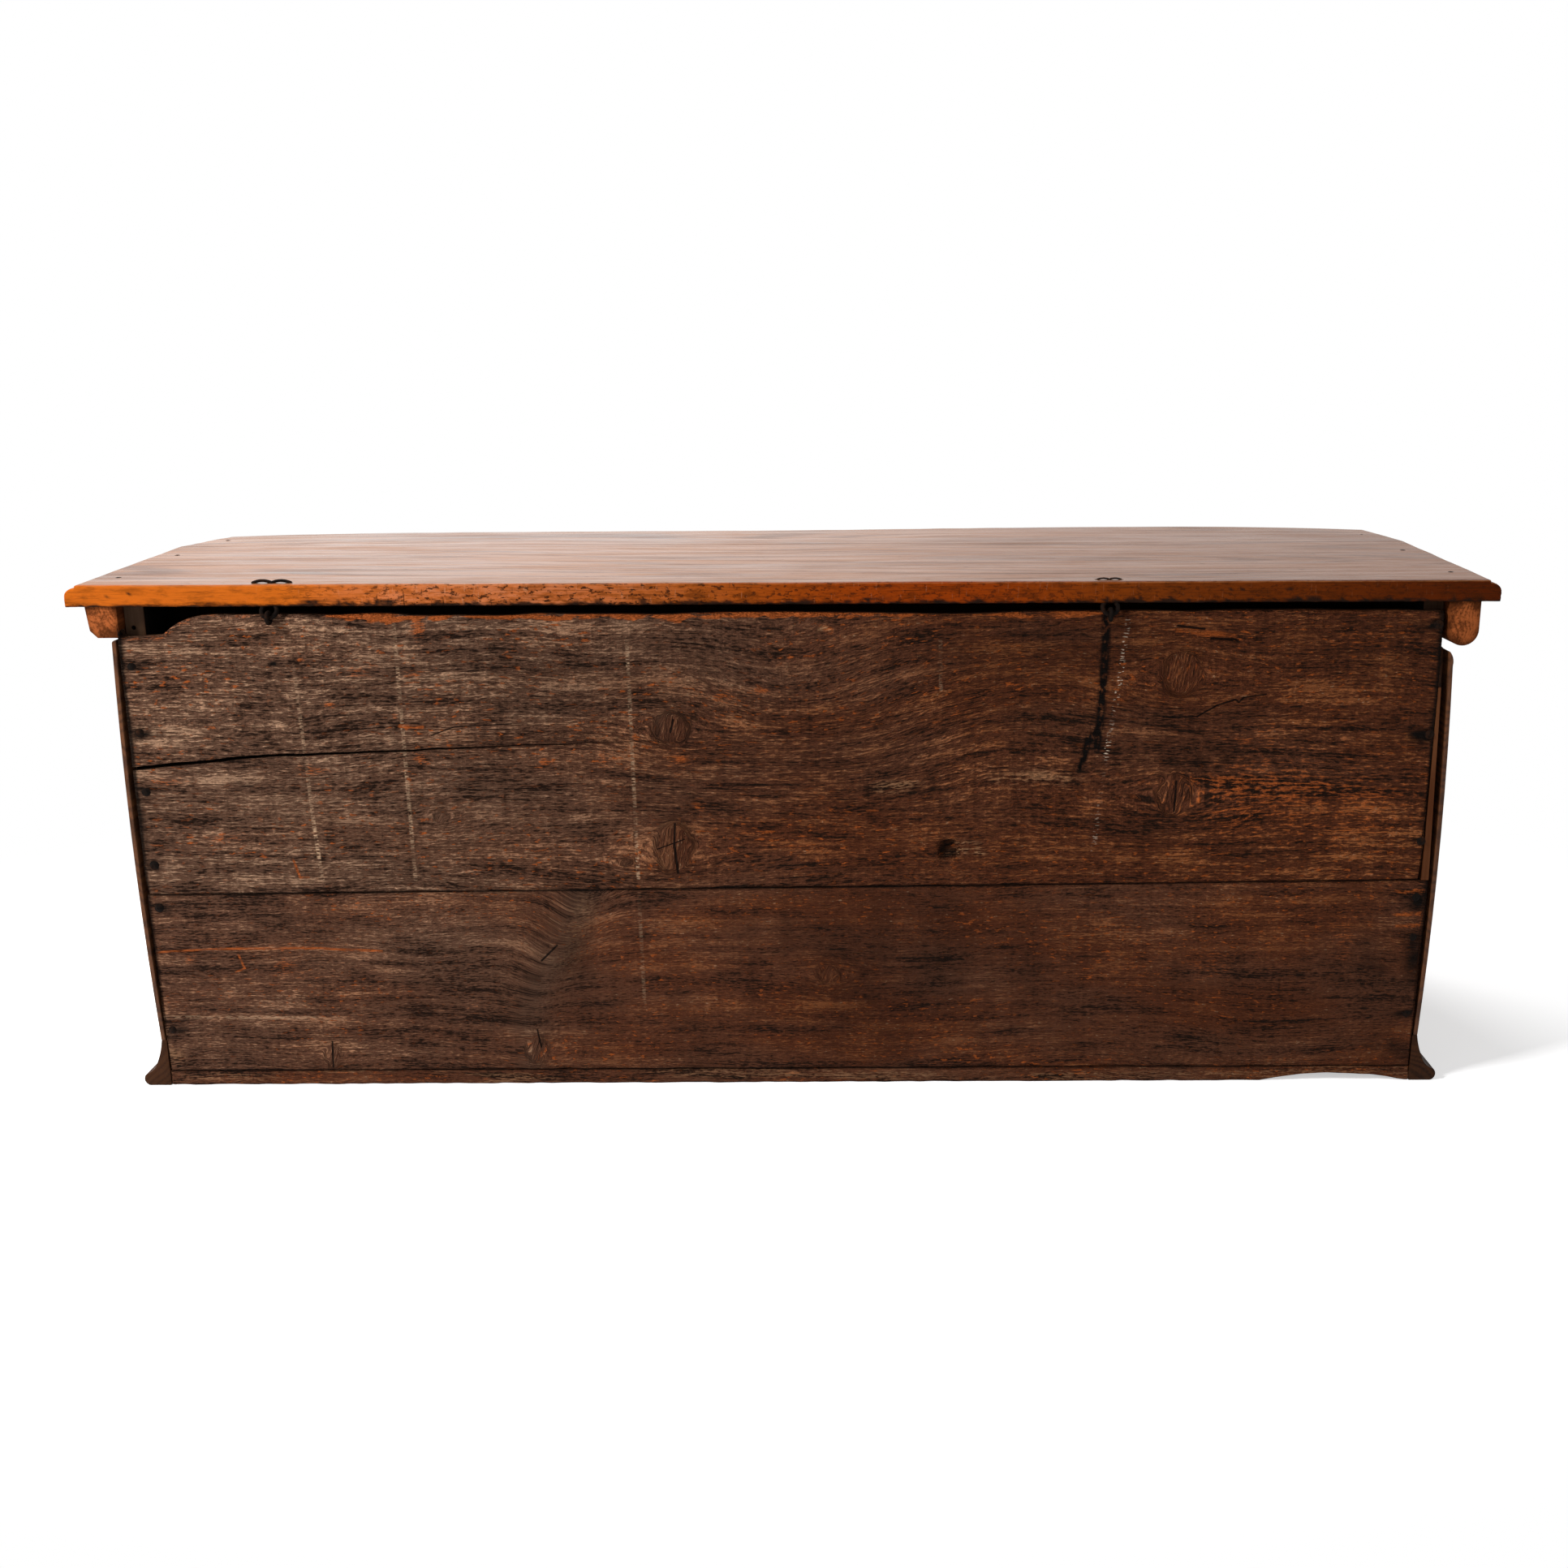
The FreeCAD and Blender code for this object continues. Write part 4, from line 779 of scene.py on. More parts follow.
def weathered_board(name, settings, saw_lines, scratches, drips, splits, smooth):
    """Rough weathered wood that reads the mesh's flowing grain and masks; smooth is 0, or 1 for the lower boards."""
    material, tree, shader = new_material(name, 0.06)
    place = tree.place()
    flow = tree.attribute("flow", "Vector")
    stain, wear, bare = tree.split(tree.attribute("tone", "Vector"))
    red, knot = tree.attribute("red"), tree.attribute("knot")
    finer = tree.stretch(flow, (1 + 0.3 * smooth, 1.0, 1 + 0.4 * smooth))
    grain = tree.group(weathered_grain_group(), {"Place": finer})
    kerf = tree.noise(place, (300.0, 1.0, 9.0), detail=2.0)
    ripple = tree.noise(place, (36.0, 1.0, 6.0), detail=2.0)
    lift = tree.weigh((grain["Fibre"], 0.64), (grain["Torn"], 0.36))
    lift = tree.sway(tree.sway(lift, kerf, 0.25), ripple, 0.4 - 0.2 * smooth)
    lift = tree.plus(tree.times(lift, 1 - 0.08 * smooth), 0.04 * smooth)
    shade = tree.sway(lift, grain["Cloud"], 0.20 + 0.16 * smooth)
    shade = tree.sway(0.5, shade, tree.fit(red, 0.0, 1.0, 0.74, 0.70))
    band = tree.noise(flow, (5.0, 1.0, 105.0), move=(3.0, 0.0, 7.0))
    patch = tree.noise(flow, (15.0, 1.0, 44.0), move=(1.0, 0.0, 4.0))
    shade = tree.sway(tree.sway(shade, band, 0.95), patch, 0.85)
    # Deep and high set darker hollows and paler proud fibres: partly the wood's own tone, partly painted shade and
    # highlights of the relief.
    deep, high = tree.fit(shade, 0.12, 0.47), tree.fit(shade, 0.53, 0.90)
    # The pale and red masks are partly the wood's tone and partly painted light: paler towards +X, darker and redder
    # towards -X.
    pale = tree.times(high, tree.attribute("pale"))
    grey = tree.mix(pale, tree.mix(deep, settings.hollow, settings.wood), settings.fibre)
    brown = tree.mix(pale, tree.mix(deep, settings.hollow, settings.warm_wood), settings.warm_fibre)
    hue = tree.sway(red, grain["Cloud"], 0.5)
    colour = tree.mix(tree.math("ADD", hue, 0.0, clamp=True), grey, brown)
    lines = tree.fit(tree.noise(flow, (26.0, 1.0, 620.0), detail=2.0), 0.20, 0.66)
    plain = tree.mix(tree.fit(hue, 0.2, 0.8), settings.wood, settings.warm_wood)
    colour = tree.mix(tree.times(knot, 0.6), colour, tree.mix(lines, settings.hollow, plain))
    speck = tree.times(grain["Specks"], tree.fit(grain["Cloud"], 0.30, 0.8, 0.15, 0.95))
    colour = tree.mix(tree.times(speck, tree.minus(1.0, knot)), colour, settings.fresh)
    # Painted highlights: pale glints on the proudest fibres.
    glint = tree.noise(flow, (170.0, 1.0, 430.0), detail=1.0, move=(5.0, 2.0, 1.0))
    glint = tree.times(tree.fit(glint, 0.66, 0.73), high)
    colour = tree.mix(tree.times(glint, 0.5), colour, BACK_GLINT)
    warm = tree.sway(wear, lift, 0.9)
    colour = tree.mix(tree.fit(warm, 0.38, 0.80, 0.0, 0.92), colour, settings.fresh)
    colour = mark_lines(tree, place, colour, settings, saw_lines, scratches, drips)
    split = 0.0
    for line in splits:
        split = tree.math("MAXIMUM", line_between(tree, place, *line), split)
    colour = tree.mix(tree.times(split, 0.93), colour, BACK_SPLIT)
    colour = tree.mix(tree.times(bare, tree.fit(lift, 0.36, 0.66)), colour, BACK_BARE)
    # The stain mask is partly painted shade: in the crack and at the boards' ends.
    colour = tree.mix(stain, colour, BACK_STAIN_AND_SHADE)
    hidden = tree.mix(tree.fit(shade, 0.2, 0.9), *BACK_HIDDEN)
    colour = tree.mix(tree.attribute("outer"), hidden, colour)
    roughness = tree.fit(lift, 0.2, 0.9, 0.9, 0.6)
    height = tree.plus(lift, tree.times(grain["Specks"], 0.25))
    height = tree.minus(tree.times(height, tree.fit(knot, 0.0, 1.0, 1.0, 0.45)), split)
    join(tree, shader, colour, roughness, height, 0.0072 - 0.0026 * smooth, 1.0)
    return material


def lid_edge_colour(tree, place, bright, settings):
    """Colour of the lid's back edge, from deep brown to bright orange, partly its own and partly painted light, and
    the mask of its pits.
    """
    pitted = tree.attribute("pitted")
    edge = tree.mix(bright, settings.old_and_shaded_edge, settings.edge)
    ruddy = tree.times(tree.fit(bright, 0.18, 0.34), tree.fit(bright, 0.38, 0.56, 0.6, 0.0))
    edge = tree.mix(ruddy, edge, EDGE_RUDDY)
    mottle = tree.noise(place, (38.0, 60.0, 130.0), detail=4.0, rough=0.7)
    dull = tree.times(tree.fit(pitted, 0.25, 1.0), tree.fit(bright, 0.45, 0.75, 0.0, 1.0))
    dull = tree.times(dull, tree.fit(mottle, 0.35, 0.60, 1.0, 0.35))
    edge = tree.mix(tree.times(dull, 0.55), edge, EDGE_DULL)
    deep = tree.mix(0.62, edge, EDGE_DEEP)
    spread = tree.fit(bright, 0.55, 1.0, 0.95, 0.62)
    streak = tree.noise(place, (16.0, 60.0, 520.0), detail=3.0)
    for uneven, low, high in ((mottle, 0.46, 0.70), (streak, 0.52, 0.72)):
        edge = tree.mix(tree.times(tree.fit(uneven, low, high), spread), edge, deep)
    nick = tree.noise(place, (420.0, 30.0, 60.0), detail=1.0, move=(4.0, 0.0, 1.0))
    nick = tree.times(tree.fit(nick, 0.68, 0.74, 0.0, 0.45), pitted)
    edge = tree.mix(nick, edge, tree.mix(bright, *EDGE_NICKS))
    pits = tree.noise(place, (105.0, 150.0, 230.0), detail=4.0, rough=0.75)
    ticks = tree.minus(tree.noise(place, (330.0, 30.0, 30.0), detail=2.0, move=(1.0, 0.0, 2.0)), 0.15)
    pits = tree.times(tree.fit(tree.math("MAXIMUM", pits, ticks), 0.545, 0.600), pitted)
    edge = tree.mix(tree.times(pits, 0.92), edge, EDGE_PIT)
    arris = tree.sway(tree.split(place)[2], mottle, -0.012)
    return tree.mix(tree.fit(arris, *LID_ARRIS, 0.85, 0.0), edge, EDGE_ARRIS), pits


def lid_timber(settings):
    """Waxed walnut of the lid: glossy on top, bright and pitted at its back edge."""
    material, tree, shader = new_material("Lid walnut", 0.03)
    shader.inputs["Coat Roughness"].default_value = 0.2
    place = tree.place()
    grain = tree.group(timber_grain_group(), {"Place": place, "Bands": 18.0})
    stain, bright, gloss = tree.split(tree.attribute("tone", "Vector"))
    share = tree.weigh((grain["Figure"], 0.24), (grain["Fibre"], 0.55))
    share = tree.sway(share, grain["Cloud"], 1.0)
    top = tree.mix(tree.fit(share, 0.15, 0.90), settings.light, settings.dark)
    # Painted shade in part: the top darkens where the bright mask falls, towards -X.
    top = tree.mix(tree.fit(bright, 0.0, 0.6, 0.5, 0.0), top, settings.dark)
    bruise = tree.noise(place, (46.0, 120.0, 46.0), detail=3.0, rough=0.7, move=(2.0, 5.0, 1.0))
    top = tree.mix(tree.fit(bruise, 0.66, 0.74, 0.0, 0.6), top, dim(settings.dark, 0.35))
    edge, pits = lid_edge_colour(tree, place, bright, settings)
    colour = tree.mix(tree.attribute("back_edge"), top, edge)
    colour = tree.mix(tree.times(grain["Pores"], 0.45), colour, dim(settings.dark, 0.3))
    worn = tree.group(worn_edge_group(), {"Place": place, "Rub": tree.attribute("rub")})["Mask"]
    colour = tree.mix(tree.times(worn, 0.5), colour, LID_WORN)
    colour = tree.mix(stain, colour, LID_STAIN)
    wax = tree.noise(place, (4.0, 55.0, 55.0), detail=5.0, rough=0.75)
    rubbed = tree.noise(place, (11.0, 260.0, 260.0), detail=3.0, rough=0.6, move=(0.0, 3.0, 1.0))
    smear = tree.noise(place, (10.0, 46.0, 46.0), detail=5.0, rough=0.72, move=(6.0, 1.0, 2.0))
    wax = tree.times(tree.fit(wax, 0.36, 0.62, 0.42, 1.02), tree.fit(rubbed, 0.32, 0.60, 0.86, 1.03))
    wax = tree.times(wax, tree.fit(smear, 0.56, 0.72, 1.0, 0.60))
    wax = tree.times(wax, tree.fit(bruise, 0.68, 0.74, 1.0, 0.45))
    tree.link(tree.times(wax, gloss), shader.inputs["Coat Weight"])
    roughness = tree.fit(tree.plus(grain["Fibre"], pits), 0.2, 1.0, 0.32, 0.65)
    height = tree.minus(tree.times(grain["Fibre"], 0.7), tree.times(grain["Pores"], 0.6))
    height = tree.minus(height, tree.times(pits, 3.0))
    join(tree, shader, colour, roughness, height, 0.00025)
    return material


def flowing_grain(x, z, knots):
    """Place of each point along and across the grain, which sways, bows round the knots and stands up in them."""
    rise = spot(x, z, *RISING_GRAIN)
    along, across = x.copy(), z + 0.010 * noise(x * 3.2 + 5, z * 5.0, 11) + 0.0040 * noise(x * 9.0, z * 12.0, 12)
    across += 0.28 * (x - RISING_GRAIN[0]) * rise + 0.012 * rise * noise(x * 6.0, z * 9.0, 13)
    for place_x, place_z, half_x, _ in knots:
        gap_x, gap_z = (x - place_x) / 2.2, z - place_z
        across = across - 0.9 * gap_z * half_x**2 / (gap_x**2 + gap_z**2 + half_x**2)
    for place_x, place_z, half_x, half_z in knots:
        gap_z = (z - place_z) / half_z
        inside = knot_inside(x, z, place_x, place_z, half_x, half_z)
        along = along * (1 - inside) + (place_x + z - place_z) * inside
        upright = place_z + (x - place_x) * (0.8 + 0.3 * gap_z**2) + 0.004 * gap_z
        across = across * (1 - inside) + upright * inside
    return along, across


def knot_inside(x, z, place_x, place_z, half_x, half_z):
    """1 inside a knot, with an uneven border."""
    ring = np.hypot((x - place_x) / half_x, (z - place_z) / half_z)
    return smooth_step(1 + 0.12 * noise(x * 70.0, z * 70.0, 14) - ring, 0, 0.30)


def knot_cover(x, z, knots):
    """1 inside any of the knots."""
    return np.max([knot_inside(x, z, *knot) for knot in knots], axis=0)


def knot_shade(x, z, knots):
    """Darker wood in the knots and a dark line round them."""
    shade = np.zeros(x.shape)
    for place_x, place_z, half_x, half_z in knots:
        ring = np.hypot((x - place_x) / half_x, (z - place_z) / half_z)
        inside = knot_inside(x, z, place_x, place_z, half_x, half_z)
        shade += 0.22 * inside + 0.25 * np.exp(-(((ring - 0.95) / 0.18) ** 2))
    return shade


def nail_stains(x, z):
    """Dark stains in the wood round the nails of the back."""
    left = points_of(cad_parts["back_nails"])
    stain = np.zeros(x.shape)
    x, z = x + 0.007 * noise(x * 110.0, z * 130.0, 16), z + 0.004 * noise(x * 90.0, z * 150.0, 17)
    while len(left):
        near = np.hypot(left[:, 0] - left[0, 0], left[:, 2] - left[0, 2]) < 0.016
        place_x, _, place_z = left[near].mean(axis=0)
        stain += spot(x, z, place_x, place_z, 0.013, 0.0065) + 0.5 * spot(x, z, place_x, place_z, 0.028, 0.005)
        left = left[~near]
    return stain * (0.75 + 0.5 * noise(x * 60.0, z * 160.0, 15))


def raised_grain(x, height, depth, short):
    """How far the weathered surface stands out from the board's face."""
    fibres = noise(x * 38.0, height * 300.0, 21) + 0.6 * noise(x * 70.0 + 3, height * 500.0, 22)
    torn = noise(x * 90.0, height * 210.0, 23)
    hollow = noise(x * 6.0, height * 26.0, 24)
    return depth * (0.6 * fibres + short * torn + 0.7 * hollow)


class Probe:
    """Finds the outline of a CAD node by looking at it from above and below."""

    def __init__(self, node):
        self.tree = ray_tree(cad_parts[node].data)
        self.low, self.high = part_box(node)
        self.middle = (self.low + self.high) / 2

    def edge(self, places, way):
        """Heights at which a look up (1) or down (-1) from outside meets the board at places along it."""
        margin, outside = 0.0002, (self.low.z if way > 0 else self.high.z) - way * 0.05
        found = []
        for place in places:
            x = min(max(place, self.low.x + margin), self.high.x - margin)
            found.append(self.tree.ray_cast(Vector((x, self.middle.y, outside)), Vector((0, 0, way)))[0].z)
        return np.array(found)

    def outline(self, count):
        """Places along the board and the heights of its lower and upper edge there."""
        span = np.linspace(self.low.x, self.high.x, count)
        return span, self.edge(span, 1), self.edge(span, -1)

    def along(self, share):
        """X at a share of the board's length."""
        return self.low.x + share * (self.high.x - self.low.x)

    def gaps(self, x, z, span, bottom_line, top_line):
        """How far points are from the board's upper edge, its lower edge and the nearer end."""
        top, bottom = np.interp(x, span, top_line), np.interp(x, span, bottom_line)
        return top - z, z - bottom, np.minimum(x - self.low.x, self.high.x - x)


def wear_edges(lift, x, z, gaps, rates, wear, seed):
    """The lift of a board's face with its edges rounded down, each at its own rate."""
    uneven = 1 + 0.6 * noise(x * 45.0, z * 45.0, seed)
    for gap, rate in zip(gaps, rates):
        radius = wear * rate * uneven
        inner = np.clip(1 - gap / radius, 0, 1)
        lift = lift - radius * (1 - np.sqrt(1 - inner**2))
    return lift


def back_sheet(name, columns, rows, face, inside, place):
    """A board with a finely cut face: place gives X and Z for shares along and up, inside is its hidden face."""
    deselect_all()
    bpy.ops.mesh.primitive_grid_add(
        x_subdivisions=len(columns) - 1, y_subdivisions=len(rows) - 1, size=1, location=(0.5, face, 0.5),
        rotation=(math.radians(-90), 0, 0)
    )
    piece = bpy.context.object
    piece.name = piece.data.name = name
    bpy.ops.object.transform_apply(location=True, rotation=True, scale=True)
    share = points_of(piece)
    column = np.rint(share[:, 0] * (len(columns) - 1)).astype(int)
    row = np.rint(share[:, 2] * (len(rows) - 1)).astype(int)
    x, z = place(columns[column], rows[row], row)
    set_points(piece, np.stack([x, np.full(x.shape, face), z], axis=1))
    count = len(x)
    bpy.ops.object.mode_set(mode="EDIT")
    bpy.ops.mesh.select_mode(type="EDGE")
    bpy.ops.mesh.select_all(action="DESELECT")
    bpy.ops.mesh.select_non_manifold(
        extend=False, use_wire=False, use_boundary=True, use_multi_face=False, use_non_contiguous=False,
        use_verts=False
    )
    bpy.ops.mesh.extrude_region_move(TRANSFORM_OT_translate={"value": (0, inside - face, 0)})
    bpy.ops.mesh.edge_face_add()
    bpy.ops.object.mode_set(mode="OBJECT")
    return piece, count, row


def paint_back(piece, count, flow, tone, pale, red, knot):
    """Stores on a back board the grain's flow, masks of stain and painted shade, wear, and tone with painted light.
    """
    points = points_of(piece)
    lines = points.copy()
    lines[:count, 0], lines[:count, 2] = flow
    set_values(piece, "flow", lines)
    masks = np.zeros((len(points), 3))
    masks[:count] = np.clip(np.stack(tone, axis=1), 0, 1)
    set_values(piece, "tone", masks)
    for name, values in (("pale", pale), ("red", red), ("knot", knot), ("outer", 1.0)):
        full = np.zeros(len(points))
        full[:count] = np.clip(values, 0, 1)
        set_values(piece, name, full)


# Columns of both back boards, as shares of their length, and rows of the upper one below and above its crack.
BACK_COLUMNS = cut_places(0.0, 1.0, 1 / 332, near=(0.0004, 0.0011, 0.0023, 0.004))
ROWS_BELOW, ROWS_ABOVE = 98, 108


def crack_opening(x):
    """How far the drying crack is open, from 0 where it starts to 1."""
    return np.clip((x - CRACK_START) / (CRACK_END - CRACK_START), 0, 1)


def upper_places(probe, span, bottom_line, top_line):
    """A function that places the upper board's columns and rows, with two rows down in the drying crack."""
    path_x, path_z = np.array(CRACK).T

    def place(along, up, row):
        x = probe.along(along)
        bottom, top = np.interp(x, span, bottom_line), np.interp(x, span, top_line)
        top = top + 0.0016 * noise(x * 22.0, 0.5, 31) + 0.0022 * noise(x * 6.0, 0.5, 32)
        middle = np.interp(x, path_x, path_z) + 0.0012 * noise(x * 40.0, 0.5, 33)
        middle = middle - 0.012 * np.clip(CRACK_START - x, 0, 1)
        half = 0.00025 + 0.0023 * crack_opening(x) ** 1.2 * (1 + 0.30 * noise(x * 55.0, 0.5, 34))
        step = row - ROWS_BELOW + 1
        share_low = np.clip(row / (ROWS_BELOW - 1), 0, 1)
        share_high = np.clip((row - ROWS_BELOW - 3) / (ROWS_ABOVE - 1), 0, 1)
        z = bottom + (middle - half - bottom) * share_low
        z = np.where(step == 1, middle - half * 0.8, z)
        z = np.where(step == 2, middle + half * 0.8, z)
        high = middle + half + (top - middle - half) * share_high
        return x, np.where(step >= 3, high, z)

    return place


def knot_strength(x):
    """How strongly the upper board's knots show along it."""
    return 1 - 0.55 * smooth_step(-x, 0.2, 0.4)


def upper_stains_and_shade(x, z, torn, hole, crack, gaps):
    """Dark stains of the upper board at knots, nails, holes and the joint, and painted shade in the crack and at the
    ends.
    """
    _, gap_low, gap_end = gaps
    dark = knot_strength(x) * knot_shade(x, z, UPPER_KNOTS) + 0.7 * nail_stains(x, z)
    dark += 0.85 * hole * smooth_step(noise(x * 240.0, z * 420.0, 37), -0.75, 0.1)
    # Painted shadow: a dark band along the crack.
    dark += 0.5 * near_line(x, z, CRACK, 0.0022) * smooth_step(x, CRACK_START, 0.30)
    dark += smooth_step(spot(x, z, *SMALL_HOLE), 0.3, 0.7)
    dark = add_spots(dark, x + torn, z + torn, UPPER_STAINS)
    dark += 0.9 * np.exp(-((gap_low / 0.0016) ** 2)) + 0.18 * spot(x, z, *SOFT_SHADE)
    # Painted shadow at both ends, as in a gap beside the facings; the open crack is painted black as shade.
    end_shadow = smooth_step(0.0075 + 0.002 * noise(z * 30.0, 0.5, 46) - gap_end, 0, 0.004)
    return np.maximum(np.where(crack, 1.0, dark), 0.92 * end_shadow)


def upper_wear(x, z, gouge, chip, gap_top):
    """Warm, worn wood and bare wood of the upper board."""
    ragged = 0.0068 + 0.0034 * noise(x * 18.0, 0.5, 39) + 0.0045 * noise(x * 95.0, z * 120.0, 40)
    worn_top = smooth_step(ragged - gap_top, 0, 0.003) * smooth_step(noise(x * 40.0, z * 300.0, 44), -1.2, -0.2)
    worn_top *= smooth_step(noise(x * 11.0, 0.5, 47), -0.9, 0.1)
    worn_top *= smooth_step(x, -0.42, -0.30) * (1 - 0.6 * smooth_step(x, 0.45, 0.60))
    warm = 1.1 * worn_top + 0.8 * gouge * smooth_step(noise(x * 70, z * 160, 41), -0.6, 0.3)
    splinter = sum(near_line(x, z, *line) for line in SPLINTERS)
    bare = 0.8 * smooth_step(chip, 0.4, 0.8)
    bare += 0.75 * splinter * smooth_step(noise(x * 90.0, z * 520.0, 45), -0.5, 0.3)
    bare += 0.45 * near_line(x, z, *BARE_BAND) * smooth_step(noise(x * 16.0, z * 60.0, 48), -0.5, 0.3)
    return add_spots(warm, x, z, WARM_SPOTS), bare


def upper_tone_and_light(x, z):
    """How pale and how red the upper board's wood is: partly its tone, partly painted light falling off towards -X.
    """
    pale = smooth_step(x, -0.15, 0.75) * 0.56 + 0.54 + 0.14 * noise(x * 3.0, z * 9.0, 42)
    pale += 0.8 * near_line(x, z, *PALE_BAND) + 0.16 * noise(x * 12.0, z * 30.0, 49)
    red = 1 - smooth_step(x + 0.15 * noise(x * 3.0, z * 8.0, 43), -0.30, 0.48)
    return add_spots(pale, x, z, UPPER_PALE), red


def shape_upper_board(settings):
    """Upper back board: broken corner, drying crack, knots, gouges and a worn top edge."""
    probe = Probe("back_board_upper")
    face, inside = probe.high.y, probe.low.y
    rows = np.arange(ROWS_BELOW + ROWS_ABOVE + 4) / (ROWS_BELOW + ROWS_ABOVE + 3)
    span, bottom_line, top_line = probe.outline(400)
    top_line = np.maximum.reduce([top_line, np.roll(top_line, 1), np.roll(top_line, -1)])
    place = upper_places(probe, span, bottom_line, top_line)
    piece, count, row = back_sheet("back_board_upper_weathered", BACK_COLUMNS, rows, face, inside, place)
    points = points_of(piece)
    x, z = points[:count, 0], points[:count, 2]
    gaps = probe.gaps(x, z, span, bottom_line, top_line)
    flow = flowing_grain(x, z, UPPER_KNOTS)
    torn = 0.003 * noise(x * 150.0, z * 150.0, 36)
    hole = smooth_step(spot(x, z + torn, *TORN_HOLE), 0.25, 0.6)
    gouge, chip = near_line(x, z, GOUGE, 0.0042), spot(x, z, *CHIP)
    crack = np.isin(row - ROWS_BELOW + 1, (1, 2)) & (x > 0.15)
    lift = raised_grain(*flow, settings.grain_depth, 0.55) + 0.0007 * noise(x * 5.0, z * 7.0, 35)
    for place_x, place_z, half_x, half_z in UPPER_KNOTS:
        lift += 0.0016 * spot(x, z, place_x, place_z, half_x * 0.9, half_z * 0.9)
    lift -= 0.006 * hole
    lift -= 0.0022 * gouge + 0.0015 * chip
    lift -= np.where(crack, settings.crack_depth * crack_opening(x) ** 0.7, 0)
    lift = wear_edges(lift, x, z, gaps, (2.2, 1.0, 1.0), settings.edge_wear, 38)
    points[:count, 1] = face + np.minimum(lift, 0.0016)
    set_points(piece, points)
    dark = upper_stains_and_shade(x, z, torn, hole, crack, gaps)
    warm, bare = upper_wear(x, z, gouge, chip, gaps[0])
    knot = knot_strength(x) * knot_cover(x, z, UPPER_KNOTS)
    paint_back(piece, count, flow, (dark, warm, bare), *upper_tone_and_light(x, z), knot)
    return piece


def streaks(x, z):
    """Upright streaks of the lower board, and how strongly they show along it."""
    return noise(x * 17.0, z * 5.0, 61) + 0.6 * noise(x * 45.0, z * 16.0, 62), 1 - 0.6 * smooth_step(x, 0.1, 0.4)


def lower_stains_and_shade(x, z, burl, gaps):
    """Dark stains of the lower board at the burl, knots, nails, streaks and joints, and painted shadow at its ends.
    """
    gap_top, gap_low, gap_end = gaps
    streak, strength = streaks(x, z)
    torn = 0.004 * noise(x * 110.0, z * 160.0, 52)
    dark = 0.20 * burl + 0.28 * knot_shade(x, z, LOWER_KNOTS) + 0.7 * nail_stains(x, z)
    dark = add_spots(dark, x + torn, z + torn, LOWER_STAINS)
    dark = add_spots(dark + 0.40 * spot(x + torn, z - torn, *LOW_STAIN), x, z, LOWER_SHADES)
    dark += 0.6 * near_line(x + torn, z + torn, *LOW_DARK_BAND)
    dark += 0.17 * smooth_step(streak, 0.0, 1.0) * strength
    dark += 0.9 * np.exp(-((gap_top / 0.0014) ** 2)) + 0.9 * np.exp(-((gap_low / 0.0016) ** 2))
    # Painted shadow at both ends, as in a gap beside the facings.
    return np.maximum(dark, 0.9 * smooth_step(0.006 - gap_end, 0, 0.004))


def lower_wear(x, z):
    """Warm, worn wood and bare wood of the lower board."""
    warm = add_spots(np.zeros(len(x)), x, z, LOWER_WARM)
    for height in LOW_STREAKS:
        warm += 0.75 * near_line(x, z, ((-0.712, height), (-0.745, height + 0.001)), 0.0034)
    return warm, 0.35 * spot(x, z, *LOW_BARE) + 0.14 * near_line(x, z, *LOW_BARE_BAND)


def lower_tone_and_light(x, z, burl):
    """How pale and how red the lower board's wood is: partly its tone, partly painted light falling off towards -X.
    """
    streak, strength = streaks(x, z)
    pale = 0.34 + 0.92 * smooth_step(x, 0.10, 0.75) + 0.20 * noise(x * 4.0, z * 9.0, 54)
    pale += 0.14 * noise(x * 14.0, z * 30.0, 50) - 0.20 * streak * strength
    red = 0.80 - 0.45 * smooth_step(x, -0.15, 0.45) + 0.22 * noise(x * 5.0, z * 11.0, 55) - 0.4 * burl
    return pale, red


def shape_lower_board(settings):
    """Lower back board: smoother than the upper one, with small knots, stains and scratches."""
    probe = Probe("back_board_lower")
    face, inside = probe.high.y, probe.low.y
    rows = cut_places(0.0, 1.0, 1 / 132, near=(0.003, 0.008, 0.016))
    span, bottom_line, top_line = probe.outline(300)

    def place(along, up, row):
        x = probe.along(along)
        bottom, top = np.interp(x, span, bottom_line), np.interp(x, span, top_line)
        return x, bottom + up * (top - bottom)

    piece, count, _ = back_sheet("back_board_lower_weathered", BACK_COLUMNS, rows, face, inside, place)
    points = points_of(piece)
    x, z = points[:count, 0], points[:count, 2]
    gaps = probe.gaps(x, z, span, bottom_line, top_line)
    along, across = flowing_grain(x, z, LOWER_KNOTS)
    burl = near_line(x, z, BURL, 0.020) * (0.8 + 0.3 * noise(x * 40.0, z * 40.0, 30))
    flow = along + 0.02 * burl, across + 0.022 * near_line(x, z, BURL, 0.034) * smooth_step(z, 0.02, 0.2)
    lift = 0.6 * raised_grain(*flow, settings.grain_depth, 0.3) + 0.0009 * noise(x * 4.0, z * 6.0, 51)
    for knot in LOWER_KNOTS:
        lift += 0.0012 * spot(x, z, *knot)
    lift = wear_edges(lift, x, z, gaps, (1.2, 1.6, 1.0), settings.edge_wear, 53)
    points[:count, 1] = face + np.minimum(lift, 0.0014)
    set_points(piece, points)
    warm, bare = lower_wear(x, z)
    knot = np.maximum(0.5 * burl, 0.35 * knot_cover(x, z, LOWER_KNOTS))
    dark = lower_stains_and_shade(x, z, burl, gaps)
    paint_back(piece, count, flow, (dark, warm, bare), *lower_tone_and_light(x, z, burl), knot)
    return piece


